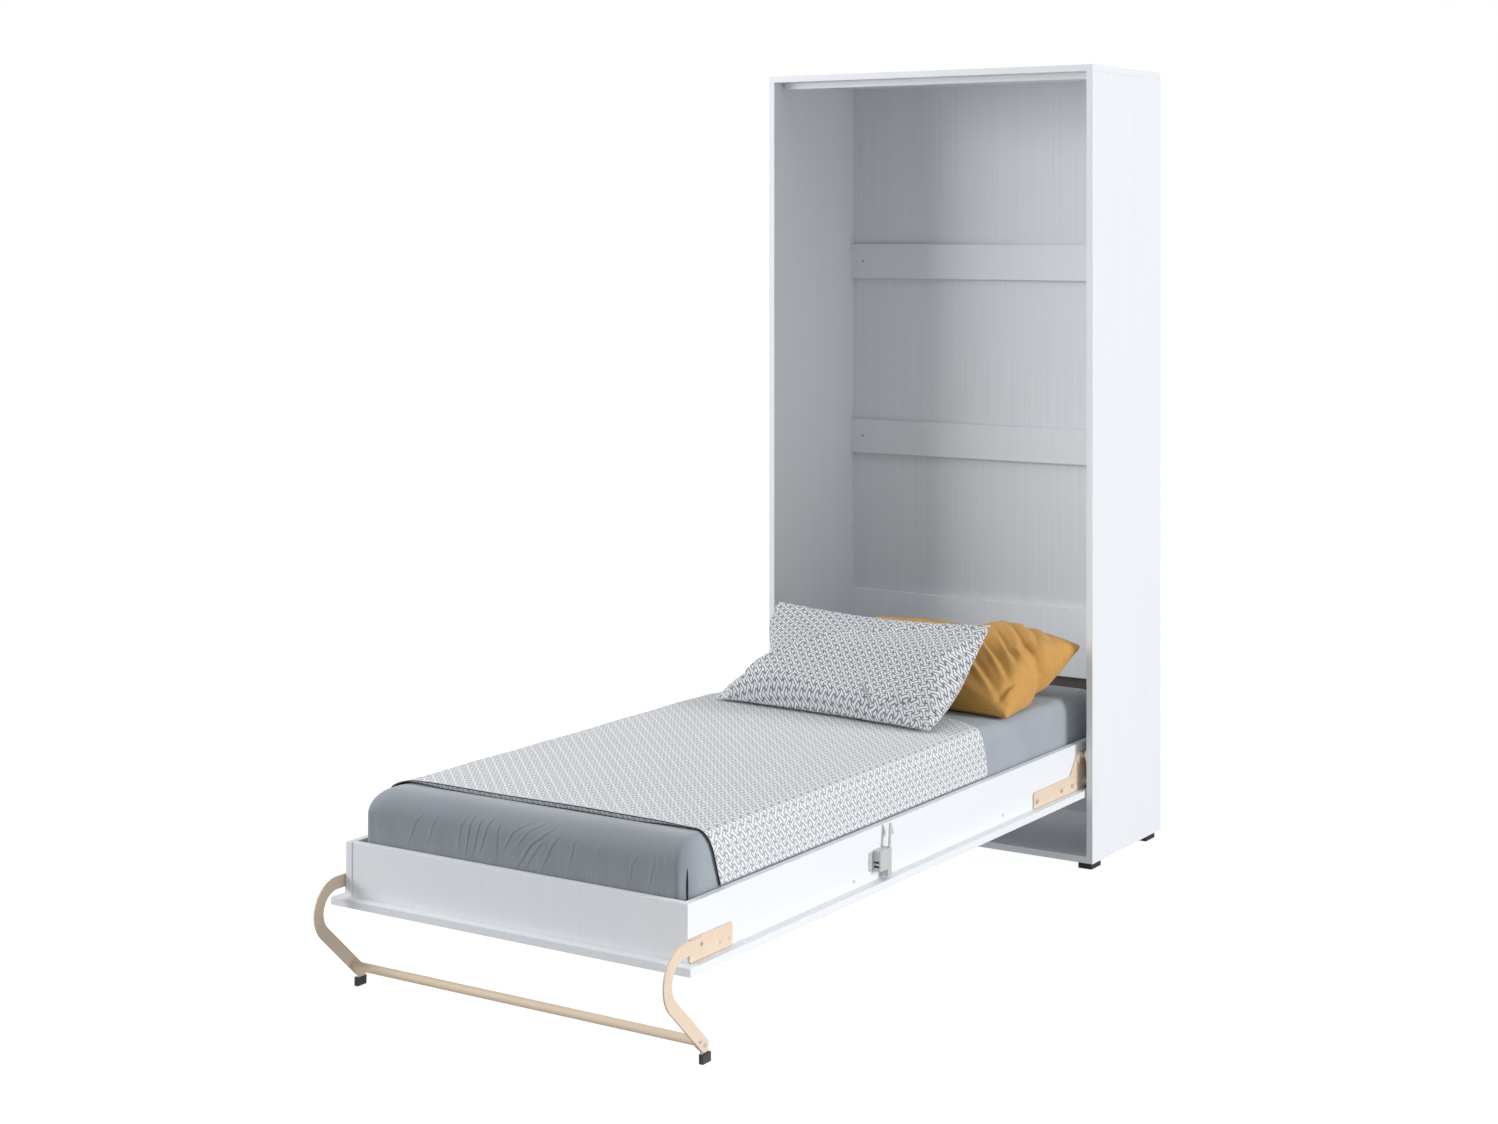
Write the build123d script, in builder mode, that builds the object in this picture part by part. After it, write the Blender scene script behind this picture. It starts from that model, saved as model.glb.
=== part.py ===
from build123d import *
from math import cos, radians, sin
import os

# Single vertical wall bed: a floor-standing cabinet, a bed box that folds down out of it about two
# side pivots, and a bent steel leg that swings out from the foot end.
# Millimetres. +Z is up, the bed opens towards -Y, and +X is to the right seen from the foot end.
# The origin is on the floor, under the centre of the whole open bed.

os.makedirs("parts", exist_ok=True)

# ---- cabinet -------------------------------------------------------------------------------
cabinet_width = 1031.0
cabinet_depth = 456.0
cabinet_height = 2171.0
board = 18.0                 # thickness of every melamine board
back_sheet = 3.0             # thin back panel
edge_round = 0.8             # softened edge of the edge banding
foot_height = 21.4
foot_size = (40.0, 60.0)
foot_inset_x = 14.0
foot_inset_front = 24.0
foot_inset_back = 13.0
stop_rail_setback = 43.0
stop_rail_depth = 30.0
stop_rail_half_length = 489.0
rail_upper = (1577.0, 1681.0)
rail_middle = (1045.0, 1147.0)
board_lower = (429.0, 629.0)
wall_hole_x = 455.0
wall_hole_r = 3.0

# ---- bed box -------------------------------------------------------------------------------
deck_half_width = 494.4
deck_bottom = 199.0
deck_foot = -1875.7          # y of the deck's foot edge, measured from the cabinet's front
deck_head = 218.0
frame_half_width = 470.5     # to the outer face of the side boards
frame_top = 340.0
frame_foot = -1851.0
frame_head = 195.0
deck_top = deck_bottom + board
frame_inner = frame_half_width - board
foot_board_step = 1.5          # the foot board stands this far behind the ends of the side boards

batten_width = 25.0
batten_top = 254.0
slat_width = 68.0
slat_thickness = 8.0
slat_count = 14

# ---- mattress, coverlet and pillows ----------------------------------------------------------
mattress_half_width = 449.0
mattress_foot = -1829.0
mattress_head = 171.0
mattress_bottom = 263.0
mattress_top = 463.0
mattress_corner = 75.0       # vertical corners
mattress_roll = 70.0         # rounding of the top edge
coverlet_gap = 0.3
coverlet_thickness = 3.0
coverlet_foot = -1745.0
coverlet_head = -512.0

# ---- pivots and hinge hardware --------------------------------------------------------------
pivot_y = 36.0               # bed pivot, behind the cabinet's front edge
pivot_z = 235.0
plate = 4.0                  # steel plate of the brackets
pin_r = 6.0
running_gap = 0.05
bush_r = 9.0
pivot_plate_size = 60.0
pivot_plate_thickness = 3.0
stud_y = 31.5                # stud that the lift strut pulls on
stud_z = 299.5
stud_r = 4.0
stud_head_r = 19.0
arm_cap_y = 7.9                # domed cap on the crank of the hinge bracket
arm_cap_z = 300.5
arm_cap_r = 17.3
arm_cap_thickness = 4.8

# ---- lift struts ------------------------------------------------------------------------------
strut_x = 484.0
anchor_y = 420.0
anchor_z = 200.0
strut_length = 395.9        # from the anchor to the centre of the eye, bed open
strut_angle = 15.71          # upwards from the anchor towards the foot end, in degrees
eye_inner_r = 15.2
eye_outer_r = 18.4
cylinder_r = 8.0
cylinder_bore_r = 5.0
rod_r = 4.0

# ---- leg ----------------------------------------------------------------------------------------
leg_pivot_y = -1812.0
leg_pivot_z = 251.0
arm_width = 29.0
arm_gap = 0.5                # between the bracket and the arm
bend_y = -1872.0             # centre of the bend, straight above it the arm runs level
bend_r = 61.5                # along the middle of the arm
bend_angle = 136.7
arm_end_run = 156.0
cross_bar_y = -1818.0
cross_bar_z = 50.0
cross_bar_r = 10.0
cross_bar_wall = 1.5
end_plate = 3.0
leg_foot_y = (-1812.0, -1780.0)
leg_foot_top = 20.0
leg_foot_x = (470.5, 482.0)

# ---- latch --------------------------------------------------------------------------------------
latch_y = (-1096.0, -1044.0)
latch_z = (241.0, 289.0)
latch_x_outer = 492.0
hook_y = -1050.0
hook_z = 262.0

SIDES = (("left", -1), ("right", 1))

# The whole bed is centred on the origin: the leg's bend is its foremost point.
leg_front = bend_y - bend_r - arm_width / 2
front_y = (-leg_front - cabinet_depth) / 2
inner_x = cabinet_width / 2 - board
panel_bottom = foot_height + board
panel_top = cabinet_height - board
back_y = cabinet_depth - back_sheet


def at(y):
    """The y of a point given from the cabinet's front edge."""
    return front_y + y


def finish(piece, node):
    """Label a finished piece and write it."""
    piece.part.label = node
    export_step(piece.part, f"parts/{node}.step")


def add_board(x_span, y_span, z_span):
    """Inside a BuildPart block: the plain box of a board between two corners."""
    with BuildSketch(Plane.XY.offset(z_span[0])) as outline:
        with Locations(((x_span[0] + x_span[1]) / 2, at((y_span[0] + y_span[1]) / 2))):
            Rectangle(x_span[1] - x_span[0], y_span[1] - y_span[0])
    extrude(outline.sketch, amount=z_span[1] - z_span[0])


def drill(plane, places, radius, depth):
    """Inside a BuildPart block: round holes from a plane along its normal."""
    with BuildSketch(plane) as holes:
        with Locations(*places):
            Circle(radius)
    extrude(holes.sketch, amount=depth, mode=Mode.SUBTRACT)


def board_piece(x_span, y_span, z_span, node):
    """A plain board with softened edges, written as one node."""
    with BuildPart() as piece:
        add_board(x_span, y_span, z_span)
        fillet(piece.edges(), edge_round)
    finish(piece, node)


def pegs(places, start_x, sign, steps):
    """A group of separate turned pieces along X: steps are (radius, length) from start_x outwards."""
    with BuildPart() as piece:
        reach = start_x
        for radius, length in steps:
            with BuildSketch(Plane.YZ.offset(sign * reach)):
                with Locations(*places):
                    Circle(radius)
            extrude(amount=sign * length)
            reach += length
    return piece


# ---- screws through a bracket into a side board: places are (y, z) -------------------------------
hinge_screws = [(at(y), 235.0) for y in (-252.0, -106.0, -40.6)]
hinge_pilot_holes = [(at(-30.0), 258.0), (at(-9.0), 234.0), (at(-242.0), 235.0)]
leg_screws = [(at(y), 235.4) for y in (-1738.0, -1704.0)]
cap_places = [(at(y), 236.0) for y in (-1181.0, -436.0)]
latch_screws = [(at(-1108.0), 283.0), (at(-1108.0), 249.0)]
screw_r = 2.0
screw_depth = 12.0
screw_head_r = 5.6
screw_head = 3.0
screw_dome = 2.0
flush_head_r = 4.0
flush_head = 1.6
cap_r = 4.0
cap_depth = 8.0

pivot_place = (at(pivot_y), pivot_z)
anchor_place = (at(anchor_y), anchor_z)
plate_screw_reach = pivot_plate_size / 2 - 8.0
plate_screws = [
    (pivot_place[0] + i * plate_screw_reach, pivot_z + j * plate_screw_reach)
    for i in (-1, 1)
    for j in (-1, 1)
]
anchor_plate_size = (34.0, 56.0)
anchor_screws = [(anchor_place[0], anchor_z + j * 20.0) for j in (-1, 1)]
strike_y = (106.0, 124.0)
strike_z = (1255.0, 1297.0)
strike_screws = [(at(118.0), 1264.0), (at(118.0), 1288.0)]


def cabinet_sides():
    """Two side panels, with the pivot plate's pocket and the screw holes."""
    for side, sign in SIDES:
        faces = sorted((sign * inner_x, sign * (inner_x + board)))
        inside = Plane.YZ.offset(sign * inner_x)
        with BuildPart() as panel:
            add_board(faces, (0, back_y), (panel_bottom, panel_top))
            fillet(panel.edges(), edge_round)
            with BuildSketch(inside):
                with Locations(pivot_place):
                    RectangleRounded(pivot_plate_size, pivot_plate_size, 6.0)
            extrude(amount=sign * pivot_plate_thickness, mode=Mode.SUBTRACT)
            drill(inside, plate_screws + anchor_screws, screw_r, sign * 16.0)
            if side == "right":
                drill(inside, strike_screws, screw_r, sign * 16.0)
        finish(panel, f"cabinet_side_{side}")


def cabinet_boards():
    """Top, bottom, stop rail, back panel, back rails and feet."""
    half = cabinet_width / 2
    full_depth = (0, back_y)
    board_piece((-half, half), full_depth, (panel_top, cabinet_height), "cabinet_top")
    board_piece((-half, half), full_depth, (foot_height, panel_bottom), "cabinet_bottom")
    board_piece(
        (-stop_rail_half_length, stop_rail_half_length),
        (stop_rail_setback, stop_rail_setback + stop_rail_depth),
        (panel_top - board, panel_top),
        "top_stop_rail",
    )
    board_piece((-inner_x, inner_x), (back_y - board, back_y), board_lower, "back_board_lower")

    rail_front = Plane.XZ.offset(-at(back_y - board))
    hole_depth = -(board + back_sheet)
    all_holes = []
    for node, span in (("back_rail_upper", rail_upper), ("back_rail_middle", rail_middle)):
        holes = [(x, sum(span) / 2) for x in (-wall_hole_x, wall_hole_x)]
        all_holes += holes
        with BuildPart() as rail:
            add_board((-inner_x, inner_x), (back_y - board, back_y), span)
            fillet(rail.edges(), edge_round)
            drill(rail_front, holes, wall_hole_r, hole_depth)
        finish(rail, node)
    with BuildPart() as sheet:
        add_board((-half + 3, half - 3), (back_y, cabinet_depth), (foot_height + 3, cabinet_height - 3))
        drill(rail_front, all_holes, wall_hole_r, hole_depth)
    finish(sheet, "back_panel")

    foot_x = half - foot_inset_x - foot_size[0] / 2
    foot_rows = (foot_inset_front + foot_size[1] / 2, cabinet_depth - foot_inset_back - foot_size[1] / 2)
    with BuildPart() as feet:
        with BuildSketch(Plane.XY):
            with Locations(*[(i * foot_x, at(y)) for i in (-1, 1) for y in foot_rows]):
                Rectangle(*foot_size)
        extrude(amount=foot_height)
        fillet(feet.edges().filter_by(Axis.Z), 2.0)
    finish(feet, "cabinet_feet")


def pivot_hardware():
    """Fixed pivot plates with their pins, the strut anchors and the screws that hold them."""
    with BuildPart() as screws:
        for sign in (-1, 1):
            for places, face, length in (
                (plate_screws, inner_x + 0.2, 14.0),
                (anchor_screws, inner_x - plate + 0.2, 17.0),
            ):
                with BuildSketch(Plane.YZ.offset(sign * face)):
                    with Locations(*places):
                        Circle(screw_r - 0.02)
                extrude(amount=sign * (length - 0.4))
    finish(screws, "cabinet_hardware_screws")

    for side, sign in SIDES:
        inside = Plane.YZ.offset(sign * inner_x)
        with BuildPart() as pivot_plate:
            with BuildSketch(inside):
                with Locations(pivot_place):
                    RectangleRounded(pivot_plate_size - 0.2, pivot_plate_size - 0.2, 6.0)
                    Circle(pin_r + 0.02, mode=Mode.SUBTRACT)
                with Locations(*plate_screws):
                    Circle(screw_r, mode=Mode.SUBTRACT)
            extrude(amount=sign * (pivot_plate_thickness - 0.05))
        finish(pivot_plate, f"pivot_plate_{side}")

        pin_start = frame_half_width + 0.6
        pin_steps = ((pin_r, inner_x + 2.5 - pin_start),)
        finish(pegs([pivot_place], pin_start, sign, pin_steps), f"pivot_pin_{side}")

        with BuildPart() as anchor:
            with BuildSketch(inside):
                with Locations(anchor_place):
                    RectangleRounded(*anchor_plate_size, 5.0)
                with Locations(*anchor_screws):
                    Circle(screw_r, mode=Mode.SUBTRACT)
            extrude(amount=-sign * plate)
            with BuildSketch(Plane.YZ.offset(sign * (inner_x - plate))):
                with Locations(anchor_place):
                    Circle(stud_r)
            extrude(amount=-sign * (inner_x - plate - strut_x + 7.0))
        finish(anchor, f"strut_anchor_{side}")


def lift_struts():
    """Pull struts beside the bed box: a cylinder on the cabinet and a rod with a wide eye."""
    along = Vector(0, -cos(radians(strut_angle)), sin(radians(strut_angle)))
    for side, sign in SIDES:
        origin = Vector(sign * strut_x, *anchor_place)
        across = Plane(origin=origin, x_dir=(1, 0, 0), z_dir=along)
        with BuildPart() as cylinder:
            with BuildSketch(Plane.YZ.offset(sign * (strut_x - 4.5))):
                with Locations(anchor_place):
                    Circle(9.0)
            extrude(amount=sign * 9.0)
            with BuildSketch(across.offset(7.0)):
                Circle(4.0)
            extrude(amount=14.0)
            with BuildSketch(across.offset(18.0)):
                Circle(cylinder_r)
            extrude(amount=212.0)
            with BuildSketch(across.offset(22.0)):
                Circle(cylinder_bore_r)
            extrude(amount=200.0, mode=Mode.SUBTRACT)
            with BuildSketch(across.offset(222.0)):
                Circle(rod_r + running_gap)
            extrude(amount=8.0, mode=Mode.SUBTRACT)
            with BuildSketch(Plane.YZ.offset(sign * (strut_x - 5.0))):
                with Locations(anchor_place):
                    Circle(stud_r + running_gap)
            extrude(amount=sign * 10.0, mode=Mode.SUBTRACT)
        finish(cylinder, f"strut_cylinder_{side}")

        eye = (anchor_place[0] + along.Y * strut_length, anchor_z + along.Z * strut_length)
        rod_start = 104.0
        with BuildPart() as rod:
            with BuildSketch(across.offset(rod_start)):
                Circle(cylinder_bore_r - running_gap)
            extrude(amount=12.0)
            with BuildSketch(across.offset(rod_start)):
                Circle(rod_r)
            extrude(amount=strut_length - rod_start - (eye_inner_r + eye_outer_r) / 2)
            with BuildSketch(Plane.YZ.offset(sign * (strut_x - 3.5))):
                with Locations(eye):
                    Circle(eye_outer_r)
                    Circle(eye_inner_r, mode=Mode.SUBTRACT)
            extrude(amount=sign * 7.0)
        finish(rod, f"strut_rod_{side}")


def bed_box():
    """Deck, side boards, foot board, head board and the slatted base."""
    deck_y = (deck_foot, deck_head)
    board_piece((-deck_half_width, deck_half_width), deck_y, (deck_bottom, deck_top), "deck_panel")
    foot_board_y = (frame_foot + foot_board_step, frame_foot + foot_board_step + board)
    inside_y = (foot_board_y[1], frame_head - board)
    for side, sign in SIDES:
        faces = sorted((sign * frame_inner, sign * frame_half_width))
        outside = Plane.YZ.offset(sign * frame_half_width)
        with BuildPart() as side_board:
            add_board(faces, (frame_foot, frame_head), (deck_top, frame_top))
            fillet(side_board.edges(), edge_round)
            drill(outside, hinge_screws + leg_screws, screw_r, -sign * screw_depth)
            drill(outside, cap_places, cap_r, -sign * cap_depth)
            if side == "right":
                drill(outside, latch_screws, screw_r, -sign * screw_depth)
        finish(side_board, f"side_board_{side}")

        batten_x = sorted((sign * frame_inner, sign * (frame_inner - batten_width)))
        board_piece(batten_x, inside_y, (deck_top, batten_top), f"slat_batten_{side}")
    ends = (-frame_inner, frame_inner)
    board_piece(ends, foot_board_y, (deck_top, frame_top), "foot_board")
    board_piece(ends, (frame_head - board, frame_head), (deck_top, frame_top), "head_board")
    beam_x = (-batten_width / 2, batten_width / 2)
    board_piece(beam_x, inside_y, (deck_top, batten_top), "slat_beam_middle")

    first_slat = frame_foot + board + 50.0
    slat_step = (frame_head - board - 50.0 - first_slat) / (slat_count - 1)
    with BuildPart() as slats:
        with BuildSketch(Plane.XY.offset(batten_top)):
            with Locations(*[(0, at(first_slat + i * slat_step)) for i in range(slat_count)]):
                Rectangle(2 * frame_inner - 4.0, slat_width)
        extrude(amount=slat_thickness)
        fillet(slats.edges().filter_by(Axis.X), 2.5)
    finish(slats, "slats")


def bedding():
    """Plain closed solids of the mattress, the coverlet over it and the two pillows."""
    length = mattress_head - mattress_foot
    middle = at((mattress_head + mattress_foot) / 2)
    with BuildPart() as mattress:
        with BuildSketch(Plane.XY.offset(mattress_bottom)):
            with Locations((0, middle)):
                RectangleRounded(2 * mattress_half_width, length, mattress_corner)
        extrude(amount=mattress_top - mattress_bottom)
        fillet(mattress.faces().sort_by(Axis.Z)[-1].edges(), mattress_roll)
        fillet(mattress.faces().sort_by(Axis.Z)[0].edges(), 20.0)
    finish(mattress, "mattress")

    low = frame_top + 1.0
    with BuildPart() as coverlet:
        with BuildSketch(Plane.XZ.offset(-at(coverlet_head))):
            for grow, mode in ((coverlet_gap + coverlet_thickness, Mode.ADD), (coverlet_gap, Mode.SUBTRACT)):
                half = mattress_half_width + grow
                top = mattress_top + grow
                roll = mattress_roll + grow
                with BuildLine():
                    right = Line((half, low), (half, top - roll))
                    right_roll = JernArc(right @ 1, (0, 1), roll, 90)
                    over = Line(right_roll @ 1, (-half + roll, top))
                    left_roll = JernArc(over @ 1, (-1, 0), roll, 90)
                    left = Line(left_roll @ 1, (-half, low))
                    Line(left @ 1, right @ 0)
                make_face(mode=mode)
        extrude(amount=coverlet_head - coverlet_foot)
    finish(coverlet, "coverlet")

    pillow("pillow_front", centre=(21.0, -435.0, 590.0), size=(640.0, 392.0), plump=96.0, tilt=31.0, turn=-5.0)
    pillow("pillow_back", centre=(165.0, -165.0, 556.0), size=(590.0, 410.0), plump=136.0, tilt=19.0, turn=-1.0)


def pillow(node, centre, size, plump, tilt, turn):
    """A lens-shaped cushion, leaning back by tilt and turned about the vertical by turn."""
    place = Location((centre[0], at(centre[1]), centre[2]), (tilt, 0, turn))
    section = Plane(place * Location((0, 0, 0), (0, 90, 0)))
    half = size[1] / 2
    rim = 7.0
    with BuildPart() as piece:
        with BuildSketch(section.offset(-size[0] / 2)):
            with BuildLine():
                top = ThreePointArc((-rim, -half), (-plump / 2, 0), (-rim, half))
                head = Line(top @ 1, (rim, half))
                bottom = ThreePointArc(head @ 1, (plump / 2, 0), (rim, -half))
                Line(bottom @ 1, top @ 0)
            make_face()
        extrude(amount=size[0])
    finish(piece, node)


def hinge_hardware():
    """Cranked brackets on the bed box, their bushes, screws and strut studs."""
    outline = [
        (-268.0, deck_top + 1.0),
        (-268.0, 261.0),
        (-52.0, 261.0),
        (-3.0, 320.0),
        (78.0, 320.0),
        (78.0, deck_top + 1.0),
    ]
    for side, sign in SIDES:
        outside = Plane.YZ.offset(sign * frame_half_width)
        with BuildPart() as bracket:
            with BuildSketch(outside) as profile:
                with BuildLine():
                    Polyline(*[(at(y), z) for y, z in outline], close=True)
                make_face()
                fillet(profile.vertices(), 7.0)
                with Locations(pivot_place):
                    Circle(bush_r + 0.02, mode=Mode.SUBTRACT)
                with Locations((at(stud_y), stud_z)):
                    Circle(stud_r + 0.02, mode=Mode.SUBTRACT)
                with Locations(*(hinge_screws + hinge_pilot_holes)):
                    Circle(screw_r, mode=Mode.SUBTRACT)
            extrude(amount=sign * plate)
        finish(bracket, f"hinge_bracket_{side}")

        head_x = strut_x + 5.0
        stud_start = frame_half_width + 0.2
        stud_steps = ((stud_r, head_x - stud_start), (stud_head_r, 4.5))
        finish(pegs([(at(stud_y), stud_z)], stud_start, sign, stud_steps), f"strut_stud_{side}")

    with BuildPart() as bushes:
        for sign in (-1, 1):
            for start, radius, depth in ((frame_half_width + 0.2, bush_r, plate), (frame_half_width + plate, 12.0, 4.0)):
                with BuildSketch(Plane.YZ.offset(sign * start)):
                    with Locations(pivot_place):
                        Circle(radius)
                        Circle(pin_r + running_gap, mode=Mode.SUBTRACT)
                extrude(amount=sign * depth)
    finish(bushes, "pivot_bushes")

    with BuildPart() as screws:
        for sign in (-1, 1):
            with BuildSketch(Plane.YZ.offset(sign * (frame_half_width + plate))):
                with Locations(*hinge_screws):
                    Circle(screw_head_r)
            extrude(amount=sign * screw_head)
        outer_x = frame_half_width + plate + screw_head
        fillet(screws.edges().filter_by(lambda edge: abs(abs(edge.center().X) - outer_x) < 0.01), screw_dome)
        for sign in (-1, 1):
            with BuildSketch(Plane.YZ.offset(sign * (frame_half_width + plate))):
                with Locations(*hinge_screws):
                    Circle(screw_r - 0.02)
            extrude(amount=-sign * (plate + screw_depth - 0.5))
    finish(screws, "hinge_bracket_screws")

    with BuildPart() as arm_caps:
        for sign in (-1, 1):
            with BuildSketch(Plane.YZ.offset(sign * (frame_half_width + plate))):
                with Locations((at(arm_cap_y), arm_cap_z)):
                    Circle(arm_cap_r)
            extrude(amount=sign * arm_cap_thickness)
        outer_x = frame_half_width + plate + arm_cap_thickness
        fillet(arm_caps.edges().filter_by(lambda edge: abs(abs(edge.center().X) - outer_x) < 0.01), 3.6)
    finish(arm_caps, "hinge_arm_caps")

    with BuildPart() as caps:
        for sign in (-1, 1):
            with BuildSketch(Plane.YZ.offset(sign * (frame_half_width - cap_depth + 0.5))):
                with Locations(*cap_places):
                    Circle(cap_r - 0.05)
            extrude(amount=sign * (cap_depth + 0.3))
    finish(caps, "side_board_screws")


def leg_hardware():
    """The swing-out leg: brackets and pins on the bed box; arms, bar, end plates and rubber feet."""
    pivot = (at(leg_pivot_y), leg_pivot_z)
    bracket_y = (-1849.0, -1690.0)
    bracket_top = 268.0
    arm_x = frame_half_width + plate + arm_gap
    for side, sign in SIDES:
        with BuildPart() as bracket:
            with BuildSketch(Plane.YZ.offset(sign * frame_half_width)):
                with Locations((at(sum(bracket_y) / 2), (deck_top + 1.0 + bracket_top) / 2)):
                    RectangleRounded(bracket_y[1] - bracket_y[0], bracket_top - deck_top - 1.0, 6.0)
                with Locations(pivot):
                    Circle(pin_r + 0.02, mode=Mode.SUBTRACT)
                with Locations(*leg_screws):
                    Circle(flush_head_r + 0.02, mode=Mode.SUBTRACT)
            extrude(amount=sign * plate)
        finish(bracket, f"leg_bracket_{side}")

        with BuildPart() as arm:
            with BuildSketch(Plane.YZ.offset(sign * arm_x)):
                with BuildLine() as middle_line:
                    level = Line(pivot, (at(bend_y), leg_pivot_z))
                    bend = JernArc(level @ 1, (-1, 0), bend_r, bend_angle)
                    Line(bend @ 1, bend @ 1 + (bend % 1) * arm_end_run)
                trace(line_width=arm_width)
                with Locations(pivot, middle_line.line @ 1):
                    Circle(arm_width / 2)
                with Locations(pivot):
                    Circle(pin_r + running_gap, mode=Mode.SUBTRACT)
                with Locations(*leg_end_screws()):
                    Circle(2.5, mode=Mode.SUBTRACT)
            extrude(amount=sign * plate)
        finish(arm, f"leg_arm_{side}")

        with BuildPart() as foot:
            width = leg_foot_x[1] - leg_foot_x[0]
            with BuildSketch(Plane.XY):
                with Locations((sign * sum(leg_foot_x) / 2, at(sum(leg_foot_y) / 2))):
                    RectangleRounded(width, leg_foot_y[1] - leg_foot_y[0], 2.5)
            extrude(amount=leg_foot_top)
            fillet(foot.faces().sort_by(Axis.Z)[0].edges(), 1.2)
            with BuildSketch(Plane.XY.offset(6.0)):
                with Locations((sign * (arm_x - end_plate / 2), at(sum(leg_foot_y) / 2))):
                    Rectangle(end_plate + 0.1, leg_foot_y[1] - leg_foot_y[0] - 6.0)
            extrude(amount=leg_foot_top, mode=Mode.SUBTRACT)
        finish(foot, f"leg_foot_{side}")

        with BuildPart() as shoe_plate:
            with BuildSketch(Plane.YZ.offset(sign * arm_x)):
                with BuildLine():
                    Line((at(cross_bar_y), cross_bar_z), (at(-1797.0), 33.0))
                trace(line_width=26.0)
                with Locations((at(cross_bar_y), cross_bar_z), (at(-1797.0), 33.0)):
                    Circle(13.0)
                with Locations((at(sum(leg_foot_y) / 2), 20.0)):
                    Rectangle(leg_foot_y[1] - leg_foot_y[0] - 6.5, 27.0)
                with Locations(*leg_end_screws()):
                    Circle(2.5, mode=Mode.SUBTRACT)
            extrude(amount=-sign * end_plate)
        finish(shoe_plate, f"leg_end_plate_{side}")

    half_bar = arm_x - end_plate
    with BuildPart() as bar:
        with BuildSketch(Plane.YZ.offset(-half_bar)):
            with Locations((at(cross_bar_y), cross_bar_z)):
                Circle(cross_bar_r)
                Circle(cross_bar_r - cross_bar_wall, mode=Mode.SUBTRACT)
        extrude(amount=2 * half_bar)
    finish(bar, "leg_cross_bar")

    with BuildPart() as pins:
        for sign in (-1, 1):
            start = frame_half_width + 0.2
            length = plate + arm_gap + plate
            with BuildSketch(Plane.YZ.offset(sign * start)):
                with Locations(pivot):
                    Circle(pin_r)
            extrude(amount=sign * length)
            with BuildSketch(Plane.YZ.offset(sign * (start + length))):
                with Locations(pivot):
                    RegularPolygon(3.6, 6)
            extrude(amount=-sign * 5.0, mode=Mode.SUBTRACT)
    finish(pins, "leg_pivot_pins")

    with BuildPart() as bracket_screws:
        for sign in (-1, 1):
            with BuildSketch(Plane.YZ.offset(sign * (frame_half_width + plate - 0.1))):
                with Locations(*leg_screws):
                    Circle(flush_head_r)
            extrude(amount=-sign * (plate - 0.2))
            with BuildSketch(Plane.YZ.offset(sign * (frame_half_width + 0.5))):
                with Locations(*leg_screws):
                    Circle(screw_r - 0.02)
            extrude(amount=-sign * (screw_depth - 0.2))
    finish(bracket_screws, "leg_bracket_screws")

    with BuildPart() as end_screws:
        for sign in (-1, 1):
            with BuildSketch(Plane.YZ.offset(sign * (arm_x + plate))):
                with Locations(*leg_end_screws()):
                    Circle(4.8)
            extrude(amount=sign * 2.0, taper=22)
            with BuildSketch(Plane.YZ.offset(sign * (arm_x + plate))):
                with Locations(*leg_end_screws()):
                    Circle(2.45)
            extrude(amount=-sign * (plate + end_plate - 0.2))
    finish(end_screws, "leg_end_screws")


def leg_end_screws():
    """Places of the two screws at the foot of each arm."""
    return [(at(cross_bar_y), cross_bar_z), (at(-1801.0), 38.0)]


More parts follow.
